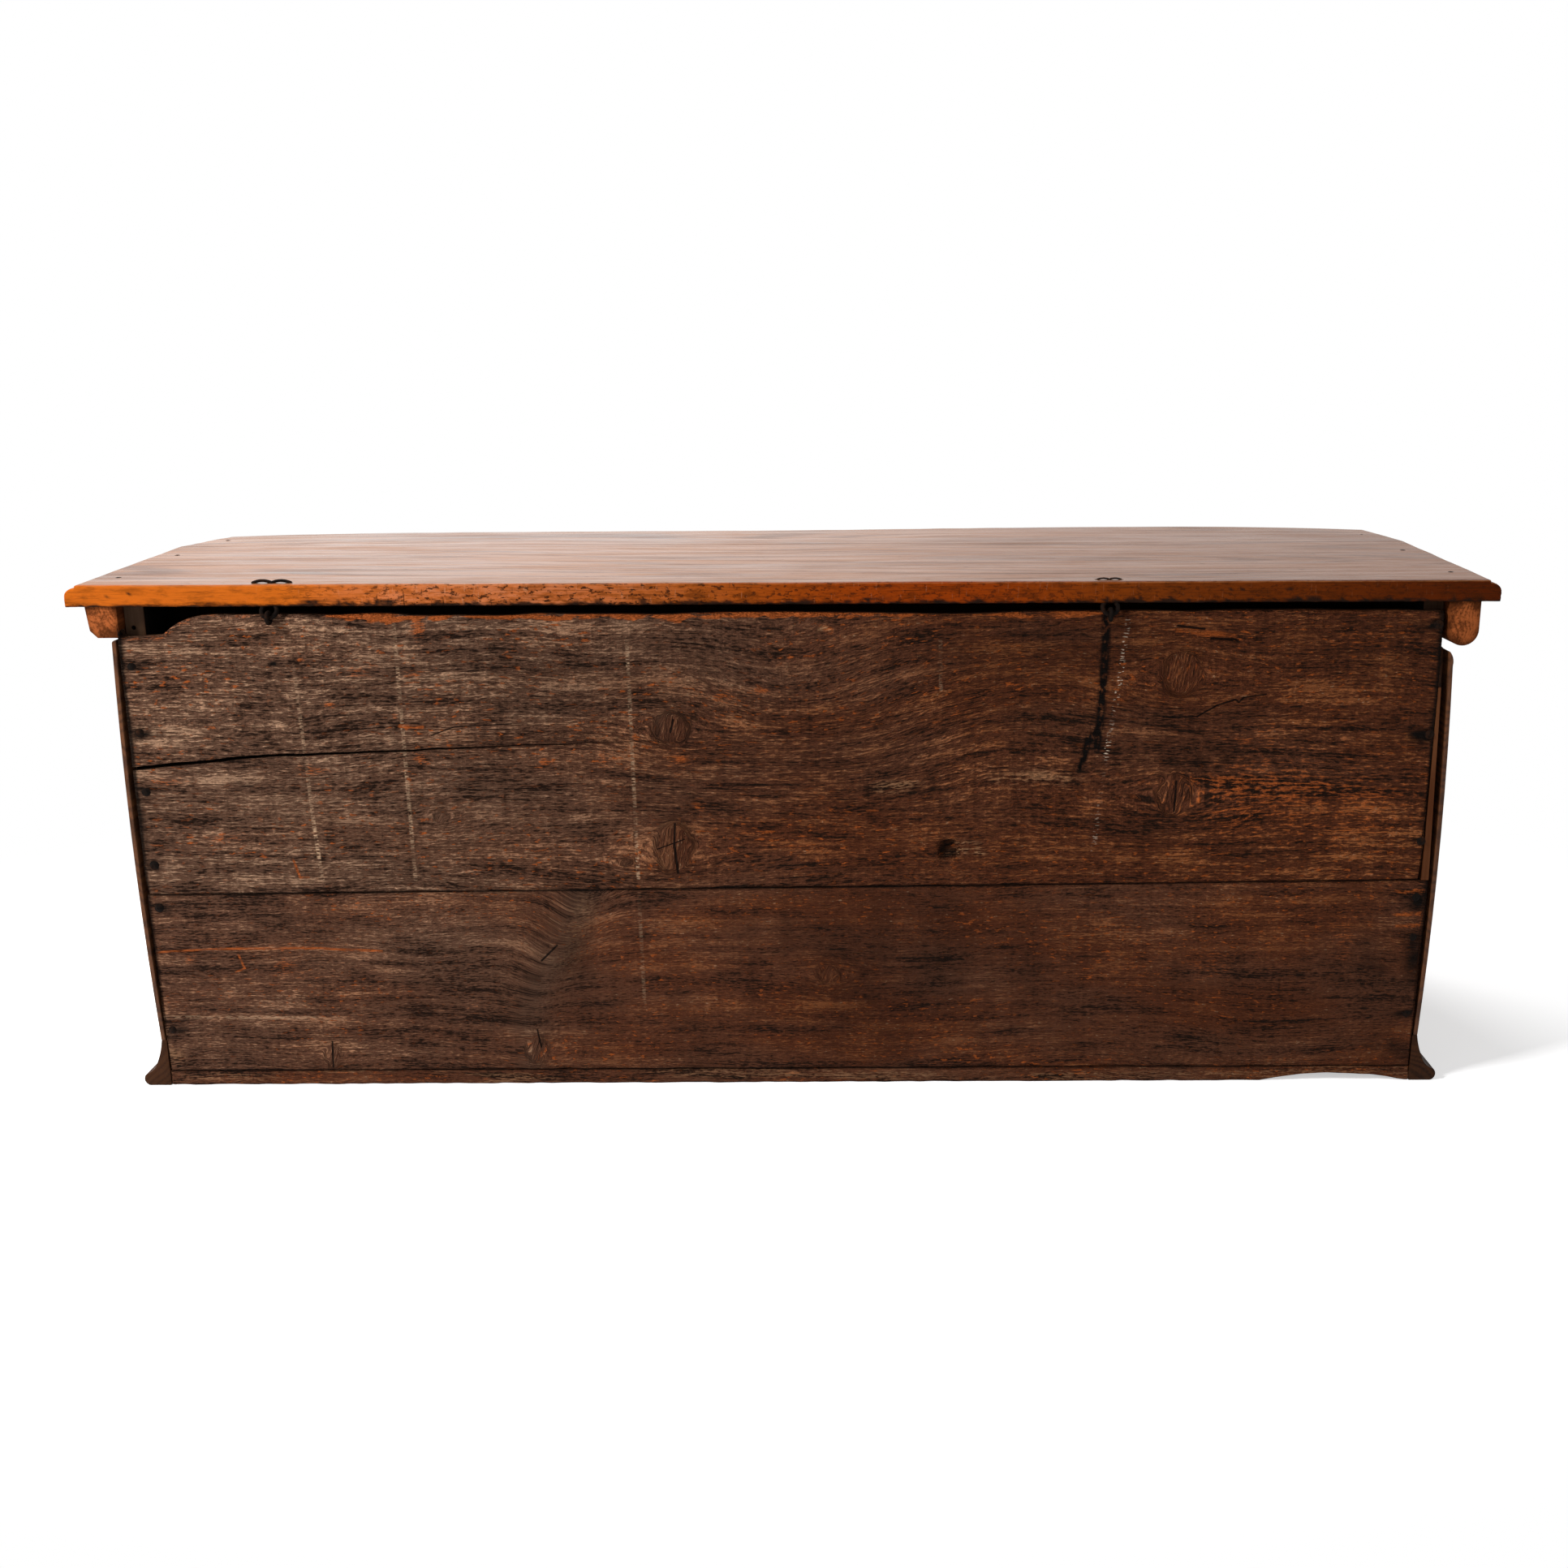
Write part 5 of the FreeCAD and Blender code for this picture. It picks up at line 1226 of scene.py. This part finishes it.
def shape_bottom_board():
    """Bottom board, with a worn and hollowed back edge."""
    probe = Probe("bottom_board")
    low, high = np.array(probe.low), np.array(probe.high)
    probe.middle.y = high[1] - 0.004
    span, under, over = probe.outline(300)
    near_back = high[1] - np.array((0.012, 0.006, 0.003, 0.0012, 0.0))
    depth = np.concatenate([np.linspace(low[1], high[1] - 0.02, 12), near_back])
    height = cut_places(low[2], high[2], 0.0022, near=(0.0007, 0.0018))
    piece = cut_board("bottom_board_weathered", (cut_places(low[0], high[0], 0.0046), depth, height))
    points = points_of(piece)
    x, up = points[:, 0].copy(), (points[:, 2] - low[2]) / (high[2] - low[2])
    points = ease_edges(points, low, high, 0.0022 * (1 + 0.7 * noise(x * 70.0, up * 3, 57)))
    up = (points[:, 2] - low[2]) / (high[2] - low[2])
    bottom, top = np.interp(x, span, under), np.interp(x, span, over)
    points[:, 2] = bottom + up * (top - bottom)
    face = smooth_step(points[:, 1], high[1] - 0.005, high[1] - 0.001)
    points[:, 1] += face * (0.0006 * noise(x * 30.0, up * 4, 58) - 0.0007)
    set_points(piece, points)
    dark = face * (0.85 * smooth_step(up, 0.86, 1.0) + 0.5 * smooth_step(0.12 - up, 0, 0.1))
    warm = face * 0.5 * smooth_step(noise(x * 30.0, up * 5, 59), 0.55, 0.9)
    bare = face * 0.30 * smooth_step(noise(x * 9.0, up * 2, 60) + 0.5 * noise(x * 50.0, up * 9, 56), 0.0, 0.8)
    # Paler towards +X, partly painted light as on the back boards.
    pale = 0.25 + 0.2 * smooth_step(x, 0.2, 0.8)
    paint_back(piece, len(x), flowing_grain(x, points[:, 2], ()), (dark, warm, bare), pale, 0.75, 0.0)
    return piece


class CHEST_OT_back_boards(bpy.types.Operator):
    """Builds the weathered boards of the back and the bottom"""

    bl_idname = "chest.back_boards"
    bl_label = "Back boards"

    def execute(self, context):
        settings = context.scene.chest_back
        upper = weathered_board("Weathered upper back", settings, SAW_LINES, SCRATCHES, RUST_DRIPS, SPLITS, 0)
        lower = weathered_board("Weathered lower back", settings, LOW_SAW_LINES, LOW_SCRATCHES, (), LOW_SPLITS, 1)
        finish_piece(shape_upper_board(settings), upper, "chest", "weathered_back", "back_board_upper")
        finish_piece(shape_lower_board(settings), lower, "chest", "weathered_back_dark", "back_board_lower")
        finish_piece(shape_bottom_board(), lower, "chest", "weathered_back_dark", "bottom_board")
        return {"FINISHED"}


# Height of the lid's underside at its back edge, its thickness, its rise at the joint and along its front edge.
LID_UNDER, LID_THICKNESS, JOINT_RISE = 0.578, 0.024, 0.009
LID_FRONT_RISE = ((-1.0, 0.0042), (-0.74, 0.0098), (0.0, 0.0075), (0.67, 0.0062), (1.0, 0.0010))
# Rounding of the two edges at the joint, and the distances between the cuts along X, Y and Z.
JOINT_EDGE, LID_CUTS = 0.0009, (0.0042, 0.0052, 0.003)
# Marks on the lid's back edge, in X and height over its underside: holes with their half width, worm tracks from
# one X to another at a height, and a saw cut with its width.
LID_HOLES = (
    (0.7535, 0.0125, 0.0022), (0.727, 0.014, 0.002), (-0.498, 0.0155, 0.0024), (-0.510, 0.015, 0.002),
    (-0.563, 0.015, 0.0026),
)
LID_TRACKS = ((0.535, 0.475, 0.0065), (0.452, 0.425, 0.0055), (0.372, 0.352, 0.0095), (-0.09, -0.12, 0.006))
LID_KERF = ((-0.6535, -0.01), (-0.6545, 0.04)), 0.0016


def thumbnail_height(gap):
    """Height of the lid's moulded edge at a distance in from the edge."""
    width, quirk, nose = 0.013, 0.0025, 0.011
    share = np.clip(1 - gap / width, 0, 1)
    curve = nose + (LID_THICKNESS - quirk - nose) * np.sqrt(1 - share**2)
    return np.where(gap < width, curve, LID_THICKNESS)


def moulded_places(low, high, step):
    """Cuts across the lid, close together beside its moulded edges."""
    near = (0.0005, 0.0013, 0.0025, 0.004, 0.0058, 0.0078, 0.0098, 0.0115, 0.0127, 0.0131, 0.015)
    return cut_places(low, high, step, near=near)


def lid_rise(x, y, front):
    """How far the bowed lid rises, from its back edge to the joint and from there to its front edge."""
    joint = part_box("lid_board_back")[0].y
    back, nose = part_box("lid_board_back")[1].y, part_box("lid_board_front")[0].y
    if not front:
        return np.clip((back - y) / (back - joint), 0, 1) * JOINT_RISE
    places, rises = np.array(LID_FRONT_RISE).T
    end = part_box("lid_board_front")[1].x
    curve = np.polyval(np.polyfit(places, rises, 4), np.clip(x / end, -1, 1))
    part = np.clip((joint - y) / (joint - nose), 0, 1)
    return JOINT_RISE * (1 - part) + curve * part


def paint_lid(piece, x, y, share, front):
    """Stores on a lid board the masks of its stains, brightness (partly painted light), wax, back edge and pits."""
    joint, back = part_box("lid_board_back")[0].y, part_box("lid_board_back")[1].y
    height = share * LID_THICKNESS
    at_back = np.zeros(len(x)) if front else smooth_step(y, back - 0.010, back - 0.003)
    holes = np.zeros(len(x))
    for place_x, place_z, half in LID_HOLES:
        holes += smooth_step(spot(x, height, place_x, place_z, half, half), 0.35, 0.6)
    track = np.zeros(len(x))
    for start, end, place_z in LID_TRACKS:
        track += near_line(x, height, ((start, place_z), (end, place_z + 0.0012)), 0.0012)
    kerf = smooth_step(near_line(x, height, *LID_KERF), 0.3, 0.6)
    chipped = 0.15 + 0.10 * noise(x * 45.0, 0.5, 67) + 0.20 * noise(x * 210.0, share * 5, 68)
    ragged = smooth_step(chipped * (0.55 + 0.45 * smooth_step(0.62 - x, 0, 0.1)) - share, 0.0, 0.1)
    dark = np.clip(at_back * (holes + kerf + 0.9 * ragged + 0.9 * track), 0, 1)
    top = smooth_step(share, 0.8, 1.0)
    dark = np.maximum(dark, 0.55 * top * smooth_step(0.0016 - np.abs(y - joint), 0, 0.001))
    # Bright rises towards +X: partly the edge's own colour and partly painted light that falls off towards -X.
    bright = np.interp(x, (-0.8, -0.45, -0.2, 0.1, 0.45, 0.8), (0.0, 0.15, 0.33, 0.53, 0.86, 0.85))
    wax = np.interp(x, (-0.8, -0.3, 0.3, 0.6, 0.8), (0.31, 0.47, 0.88, 1.0, 0.70)) * (1 - at_back)
    pitted = smooth_step(0.66 - x, 0.0, 0.30) * np.interp(x, (-0.8, -0.2, 0.2), (0.40, 0.6, 1.0))
    set_values(piece, "tone", np.stack([dark, bright, wax], axis=1))
    set_values(piece, "back_edge", at_back)
    set_values(piece, "pitted", at_back * pitted)


def shape_lid_board(name, node, settings, front):
    """One board of the lid, with the moulding on its ends, and on its front where it is the front board."""
    low, high = (np.array(corner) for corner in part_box(node))
    low[2], high[2] = LID_UNDER, LID_UNDER + LID_THICKNESS
    length = moulded_places(low[0], high[0], LID_CUTS[0])
    depth = (moulded_places if front else cut_places)(low[1], high[1], LID_CUTS[1])
    piece = cut_board(name, (length, depth, LID_UNDER + cut_places(0, LID_THICKNESS, LID_CUTS[2])))
    points = points_of(piece)
    x, y = points[:, 0].copy(), points[:, 1].copy()
    rub = np.clip(1 - edge_gap(points, low, high) / 0.004, 0, 1)
    radius = settings.edge_wear * (1 + 0.55 * noise(x * 30.0, y * 30.0, 61))
    if front:
        rub = np.where(y > high[1] - 0.01, 0, rub)
        radius = np.where(y > high[1] - 0.01, JOINT_EDGE, radius)
    else:
        ragged = 0.0024 + 0.0012 * noise(x * 75.0, 0.5, 62) + 0.0014 * noise(x * 190.0, 0.5, 63)
        low_back = (y > high[1] - 0.012) & (points[:, 2] < LID_UNDER + 0.012)
        radius = np.where(low_back, ragged, radius)
        radius = np.where((y < high[1] - 0.02) & (y < low[1] + 0.01), JOINT_EDGE, radius)
    points = ease_edges(points, low, high, np.maximum(radius, 0.0003))
    share = (points[:, 2] - LID_UNDER) / LID_THICKNESS
    height = thumbnail_height(np.minimum(x - low[0], high[0] - x))
    if front:
        height = np.minimum(height, thumbnail_height(y - low[1]))
    top = smooth_step(share, 0.8, 1.0)
    dents = noise(x * 9.0, y * 22.0, 64) + 0.5 * noise(x * 30.0, y * 70.0, 65)
    points[:, 2] = LID_UNDER + lid_rise(x, y, front) + share * height + top * settings.dent_depth * (dents - 0.7)
    if not front:
        back_edge = points[:, 1] > high[1] - 0.004
        rough_edge = smooth_step(0.60 - x, 0.0, 0.25) * 0.0005 + 0.00015
        points[:, 1] -= np.where(back_edge, rough_edge * (1 + noise(x * 130.0, share * 9, 66)), 0)
    set_points(piece, points)
    set_values(piece, "rub", rub * top)
    paint_lid(piece, x, y, share, front)
    return piece


class CHEST_OT_lid(bpy.types.Operator):
    """Builds the two boards of the lid"""

    bl_idname = "chest.lid"
    bl_label = "Lid"

    def execute(self, context):
        settings = context.scene.chest_lid
        walnut = lid_timber(settings)
        back = shape_lid_board("lid_board_back_worn", "lid_board_back", settings, False)
        finish_piece(back, walnut, "lid", "lid_walnut", "lid_board_back")
        front = shape_lid_board("lid_board_front_worn", "lid_board_front", settings, True)
        finish_piece(front, walnut, "lid", "lid_walnut", "lid_board_front")
        return {"FINISHED"}


# Widths to which the edges of the cleats, the trim and the drawer fronts are eased.
CLEAT_EASE, TRIM_EASE, DRAWER_EASE = 0.0012, 0.0011, 0.0010


class CHEST_OT_cleats(bpy.types.Operator):
    """Finishes the cleats under the ends of the lid"""

    bl_idname = "chest.cleats"
    bl_label = "Cleats"

    def execute(self, context):
        settings = context.scene.chest_lid
        dark = dim(settings.cleat, 0.30)
        for side in ("left", "right"):
            name = "lid_cleat_" + side
            wood = cleat_wood("Cleat wood " + side, settings.cleat, dark, *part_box(name))
            finish_piece(eased_copy(name, CLEAT_EASE, 3), wood, "lid", "cleat_wood", name)
        return {"FINISHED"}


class CHEST_OT_ends(bpy.types.Operator):
    """Finishes the facings on the ends and the base moulding"""

    bl_idname = "chest.ends"
    bl_label = "Facings and base moulding"

    def execute(self, context):
        settings = context.scene.chest_case
        light, dark = settings.trim_light, settings.trim_dark
        sides = timber("Facing walnut", light, dark, "Y", rough=(0.38, 0.6), specular=0.15)
        light, dark = dim(light, 0.42), dim(dark, 0.5)
        base = timber("Base walnut", light, dark, "Y", rough=(0.42, 0.65), specular=0.05)
        front = timber("Base front walnut", light, dark, "X", rough=(0.42, 0.65), specular=0.08)
        pieces = (
            ("side_facing_left", sides), ("side_facing_right", sides), ("base_moulding_left", base),
            ("base_moulding_right", base), ("base_moulding_front", front),
        )
        for node, wood in pieces:
            finish_piece(eased_copy(node, TRIM_EASE), wood, "chest", "dark_walnut", node)
        return {"FINISHED"}


def shape_plain_board(name, low, high, settings, seed):
    """A planed board with worn edges and a slightly uneven face."""
    low, high = np.array(low), np.array(high)
    places = [cut_places(low[axis], high[axis], 0.011, near=(0.0006, 0.0016, 0.0034)) for axis in range(3)]
    piece = cut_board(name, places)
    points = points_of(piece)
    x, z = points[:, 0].copy(), points[:, 2].copy()
    rub = np.clip(1 - edge_gap(points, low, high) / 0.0045, 0, 1)
    radius = settings.edge_wear * (1 + 0.6 * noise(x * 24.0, z * 24.0, seed))
    points = ease_edges(points, low, high, radius)
    face = smooth_step(low[1] + 0.004 - points[:, 1], 0, 0.003)
    points[:, 1] += face * 0.00025 * (1 + noise(x * 7.0, z * 16.0, seed + 1))
    set_points(piece, points)
    set_values(piece, "rub", rub)
    return piece


class CHEST_OT_front(bpy.types.Operator):
    """Builds the front board and the frame round the drawers"""

    bl_idname = "chest.front"
    bl_label = "Front frame"

    def execute(self, context):
        settings = context.scene.chest_case
        light, dark = settings.front_light, settings.front_dark
        level = timber("Front walnut", light, dark, "X", bands=22.0, rough=(0.3, 0.5), shift=(0.4, 0.0, 0.3))
        upright = timber("Stile walnut", light, dark, "Z", rough=(0.3, 0.5))
        left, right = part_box("front_stile_left"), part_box("front_stile_right")
        rail = [Vector(corner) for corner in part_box("front_bottom_rail")]
        rail[0].x, rail[1].x = left[1].x, right[0].x
        muntin = [Vector(corner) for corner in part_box("front_muntin")]
        muntin[0].z, muntin[1].z = rail[1].z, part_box("front_board")[0].z
        boards = (
            ("front_board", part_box("front_board"), level), ("front_bottom_rail", rail, level),
            ("front_stile_left", left, upright), ("front_stile_right", right, upright),
            ("front_muntin", muntin, upright),
        )
        for number, (node, (low, high), wood) in enumerate(boards):
            piece = shape_plain_board(node + "_worn", low, high, settings, 70 + 3 * number)
            finish_piece(piece, wood, "chest", "front_walnut", node)
        return {"FINISHED"}


class CHEST_OT_drawers(bpy.types.Operator):
    """Finishes both drawers and their knobs"""

    bl_idname = "chest.drawers"
    bl_label = "Drawers"

    def execute(self, context):
        settings = context.scene.chest_case
        light, dark = settings.front_light, settings.front_dark
        face = timber("Drawer walnut", light, dark, "X", bands=26.0, rough=(0.3, 0.5), shift=(0.0, 0.1, 0.12))
        turned = timber("Knob walnut", dim(light, 0.7), dark, "Y", bands=60.0, rough=(0.22, 0.38))
        deep = dry_wood("Drawer side wood", settings.inside, "Y")
        wide = dry_wood("Drawer bottom wood", settings.inside, "X")
        for side in ("left", "right"):
            name = "drawer_" + side
            finish_piece(eased_copy(name + "_front", DRAWER_EASE), face, name, "front_walnut", name + "_front")
            dress_nodes(turned, name + "_knobs")
            dress_nodes(deep, name + "_outer_side", name + "_inner_side")
            dress_nodes(wide, name + "_back", name + "_bottom")
        return {"FINISHED"}


class CHEST_OT_inside(bpy.types.Operator):
    """Finishes the end boards, floors, partition, runners and filler strip"""

    bl_idname = "chest.inside"
    bl_label = "Inside boards"

    def execute(self, context):
        settings = context.scene.chest_case
        # Painted shade: the end boards are dimmed and darken towards the back of the chest.
        shade = dim(settings.inside, 0.50, 0.47, 0.52)
        upright = dry_wood("End board wood", shade, "Z", dirt=0.7, painted_shade=True)
        level = dry_wood("Well floor wood", dim(settings.inside, 0.6), "X", dirt=0.6)
        deep = dry_wood("Runner wood", settings.inside, "Y")
        slip = dry_wood("Filler wood", settings.filler, "Z", dirt=0.45)
        dress_nodes(upright, "side_board_left", "side_board_right")
        dress_nodes(level, "well_floor")
        dress_nodes(slip, "back_filler_strip")
        runners = [f"drawer_runner_{side}_{place}" for side in ("left", "right") for place in ("outer", "inner")]
        dress_nodes(deep, "drawer_partition", *runners)
        return {"FINISHED"}


def lid_surface():
    """A function that finds the height of the lid's worn top."""
    trees = [ray_tree(bpy.data.objects[name].data) for name in ("lid_board_back_worn", "lid_board_front_worn")]

    def height(x, y):
        hits = [tree.ray_cast(Vector((x, y, 1.0)), Vector((0, 0, -1)))[0] for tree in trees]
        return max((hit.z for hit in hits if hit), default=0.0)

    return height


# Heights above which ironwork stands out of the lid, and above which it swells.
PROUD_FROM, SWOLLEN_FROM = 0.59, 0.6025


def flattened_copy(node, share, shrink, swell, reach, surface):
    """A copy of ironwork: each part above the lid, as wide as the reach, is beaten down, drawn in and swollen."""
    piece = welded_copy(node, "_beaten", 0.00001)
    bpy.ops.object.mode_set(mode="OBJECT")
    points = points_of(piece)
    normals = np.empty(points.size)
    piece.data.vertex_normals.foreach_get("vector", normals)
    points += np.where(points[:, 2:] > SWOLLEN_FROM, swell, 0) * normals.reshape(-1, 3)
    left = np.nonzero(points[:, 2] > PROUD_FROM)[0]
    while len(left):
        gaps = points[left, :2] - points[left[0], :2]
        near = left[np.hypot(gaps[:, 0], gaps[:, 1]) < reach]
        left = np.setdiff1d(left, near)
        middle = points[near, :2].mean(axis=0)
        for number in near:
            top = surface(points[number, 0], points[number, 1])
            if 0 < top < points[number, 2] + 0.0004:
                points[number, 2] = top + (points[number, 2] - top) * share
                points[number, :2] = middle + (points[number, :2] - middle) * shrink
    set_points(piece, points)
    return piece


class CHEST_OT_ironwork(bpy.types.Operator):
    """Finishes the wire hinges and the nails"""

    bl_idname = "chest.ironwork"
    bl_label = "Ironwork"

    def execute(self, context):
        iron = wrought_iron(context.scene.chest_case.iron)
        dress_nodes(iron, "hinge_back_eye_left", "hinge_back_eye_right")
        dress_nodes(iron, "back_nails", "front_nails", "bottom_nails")
        surface = lid_surface()
        beaten = (
            ("hinge_lid_eye_left", 0.34, 0.62, 0.0008, 0.1), ("hinge_lid_eye_right", 0.60, 1.0, 0.0010, 0.1),
            ("lid_cleat_nails", 0.2, 0.6, 0.0, 0.02),
        )
        for node, *shape in beaten:
            finish_piece(flattened_copy(node, *shape, surface), iron, "lid", "iron", node)
        return {"FINISHED"}


def white_for_eyes(tree):
    """1 for rays from the camera and for rays in reflections and glass."""
    rays = tree.node("ShaderNodeLightPath").outputs
    seen = tree.math("MAXIMUM", rays["Is Camera Ray"], rays["Is Glossy Ray"])
    return tree.math("MAXIMUM", seen, rays["Is Transmission Ray"])


# Where the camera stands, how far its picture is shifted sideways, and the width of its sensor in millimetres.
CAMERA_PLACE, CAMERA_SHIFT, SENSOR_WIDTH = (-0.079, 2.11035, 0.853), -0.045, 36


class CHEST_OT_stage(bpy.types.Operator):
    """Sets up the floor, the lights, the white surround and the camera"""

    bl_idname = "chest.stage"
    bl_label = "Stage"

    def execute(self, context):
        settings = context.scene.chest_stage
        context.scene.view_settings.view_transform = "Standard"
        self.floor(settings)
        self.surround(context, settings)
        self.light("Key light", (2.2, 1.5, 2.2), (0.15, 0.24, 0.38), 0.6, settings.key_power)
        self.light("Fill light", (-2.2, 2.4, 1.6), (-0.2, 0.24, 0.35), 1.6, settings.fill_power)
        self.light("Front light", (0.9, -2.6, 2.2), (0.0, -0.2, 0.3), 1.6, settings.key_power * 0.8)
        self.camera(context, settings)
        return {"FINISHED"}

    def floor(self, settings):
        """A wide pale floor that takes the chest's shadow."""
        deselect_all()
        bpy.ops.mesh.primitive_plane_add(size=40, location=(0, 0, 0))
        floor = bpy.context.object
        floor.name = floor.data.name = "floor"
        material = bpy.data.materials.new("Pale floor")
        material.use_nodes = True
        tree = Tree(material.node_tree)
        material.node_tree.nodes.clear()
        lit = tree.node("ShaderNodeBsdfDiffuse", {"Color": full_colour(settings.floor)}).outputs[0]
        glow = tree.node("ShaderNodeEmission", {"Color": (1, 1, 1, 1), "Strength": 0.5}).outputs[0]
        white = tree.node("ShaderNodeEmission", {"Color": (1, 1, 1, 1), "Strength": 1.0}).outputs[0]
        both = tree.node("ShaderNodeAddShader", {0: lit, 1: glow}).outputs[0]
        reach = tree.vector("LENGTH", tree.stretch(tree.place(), (0.6, 1.0, 1.0)), out=1)
        both = tree.node("ShaderNodeMixShader", {0: tree.fit(reach, 0.5, 1.1), 1: both, 2: white}).outputs[0]
        seen = white_for_eyes(tree)
        surface = tree.node("ShaderNodeMixShader", {0: seen, 1: lit, 2: both}).outputs[0]
        tree.node("ShaderNodeOutputMaterial", {"Surface": surface})
        floor.data.materials.append(material)

    def surround(self, context, settings):
        """White all round for the camera and reflections, and dimmer for the light it gives."""
        world = bpy.data.worlds.new("Studio")
        world.use_nodes = True
        tree = Tree(world.node_tree)
        world.node_tree.nodes.clear()
        strength = tree.fit(white_for_eyes(tree), 0.0, 1.0, settings.sky, 1.0)
        back = tree.node("ShaderNodeBackground", {"Color": (1, 1, 1, 1), "Strength": strength}).outputs[0]
        tree.node("ShaderNodeOutputWorld", {"Surface": back})
        context.scene.world = world

    def light(self, name, place, target, size, power):
        """A square soft light turned to a place on the chest."""
        deselect_all()
        turn = (Vector(target) - Vector(place)).to_track_quat("-Z", "Y").to_euler()
        bpy.ops.object.light_add(type="AREA", location=place, rotation=turn)
        lamp = bpy.context.object
        lamp.name = lamp.data.name = name
        lamp.data.size = size
        lamp.data.energy = power
        lamp.visible_glossy = False

    def camera(self, context, settings):
        """A camera behind the chest, at the height and distance of the view."""
        deselect_all()
        turn = Matrix.Rotation(math.pi, 4, "Z") @ Matrix.Rotation(math.radians(90) - settings.tilt, 4, "X")
        turn = turn @ Matrix.Rotation(settings.roll, 4, "Z")
        bpy.ops.object.camera_add(location=CAMERA_PLACE, rotation=turn.to_euler())
        camera = bpy.context.object
        camera.name = camera.data.name = "Camera"
        camera.data.sensor_width = SENSOR_WIDTH
        camera.data.lens = settings.lens
        camera.data.shift_x = CAMERA_SHIFT
        context.scene.camera = camera


OPERATORS = (
    CHEST_OT_back_boards, CHEST_OT_lid, CHEST_OT_cleats, CHEST_OT_ends, CHEST_OT_front, CHEST_OT_drawers,
    CHEST_OT_inside, CHEST_OT_ironwork, CHEST_OT_stage,
)
SETTINGS = (("chest_back", BackSettings), ("chest_lid", LidSettings), ("chest_case", CaseSettings),
            ("chest_stage", StageSettings))


class CHEST_PT_panel(bpy.types.Panel):
    """Lists the settings and the steps of the chest"""

    bl_idname = "CHEST_PT_panel"
    bl_label = "Mule chest"
    bl_space_type = "VIEW_3D"
    bl_region_type = "UI"
    bl_category = "Mule chest"

    def draw(self, context):
        for name, group in SETTINGS:
            box = self.layout.box()
            for key in group.__annotations__:
                box.prop(getattr(context.scene, name), key)
        for operator in OPERATORS:
            self.layout.operator(operator.bl_idname)


def register():
    """Makes the settings, steps and panel known to Blender."""
    for name, group in SETTINGS:
        bpy.utils.register_class(group)
        setattr(bpy.types.Scene, name, PointerProperty(type=group))
    for made in (*OPERATORS, CHEST_PT_panel):
        bpy.utils.register_class(made)


def unregister():
    """Takes the settings, steps and panel away again."""
    for made in (CHEST_PT_panel, *reversed(OPERATORS)):
        bpy.utils.unregister_class(made)
    for name, group in reversed(SETTINGS):
        delattr(bpy.types.Scene, name)
        bpy.utils.unregister_class(group)


def main():
    """Builds the chest step by step."""
    register()
    bpy.ops.chest.back_boards()
    bpy.ops.chest.lid()
    bpy.ops.chest.cleats()
    bpy.ops.chest.ends()
    bpy.ops.chest.front()
    bpy.ops.chest.drawers()
    bpy.ops.chest.inside()
    bpy.ops.chest.ironwork()
    bpy.ops.chest.stage()


if __name__ == "__main__":
    main()
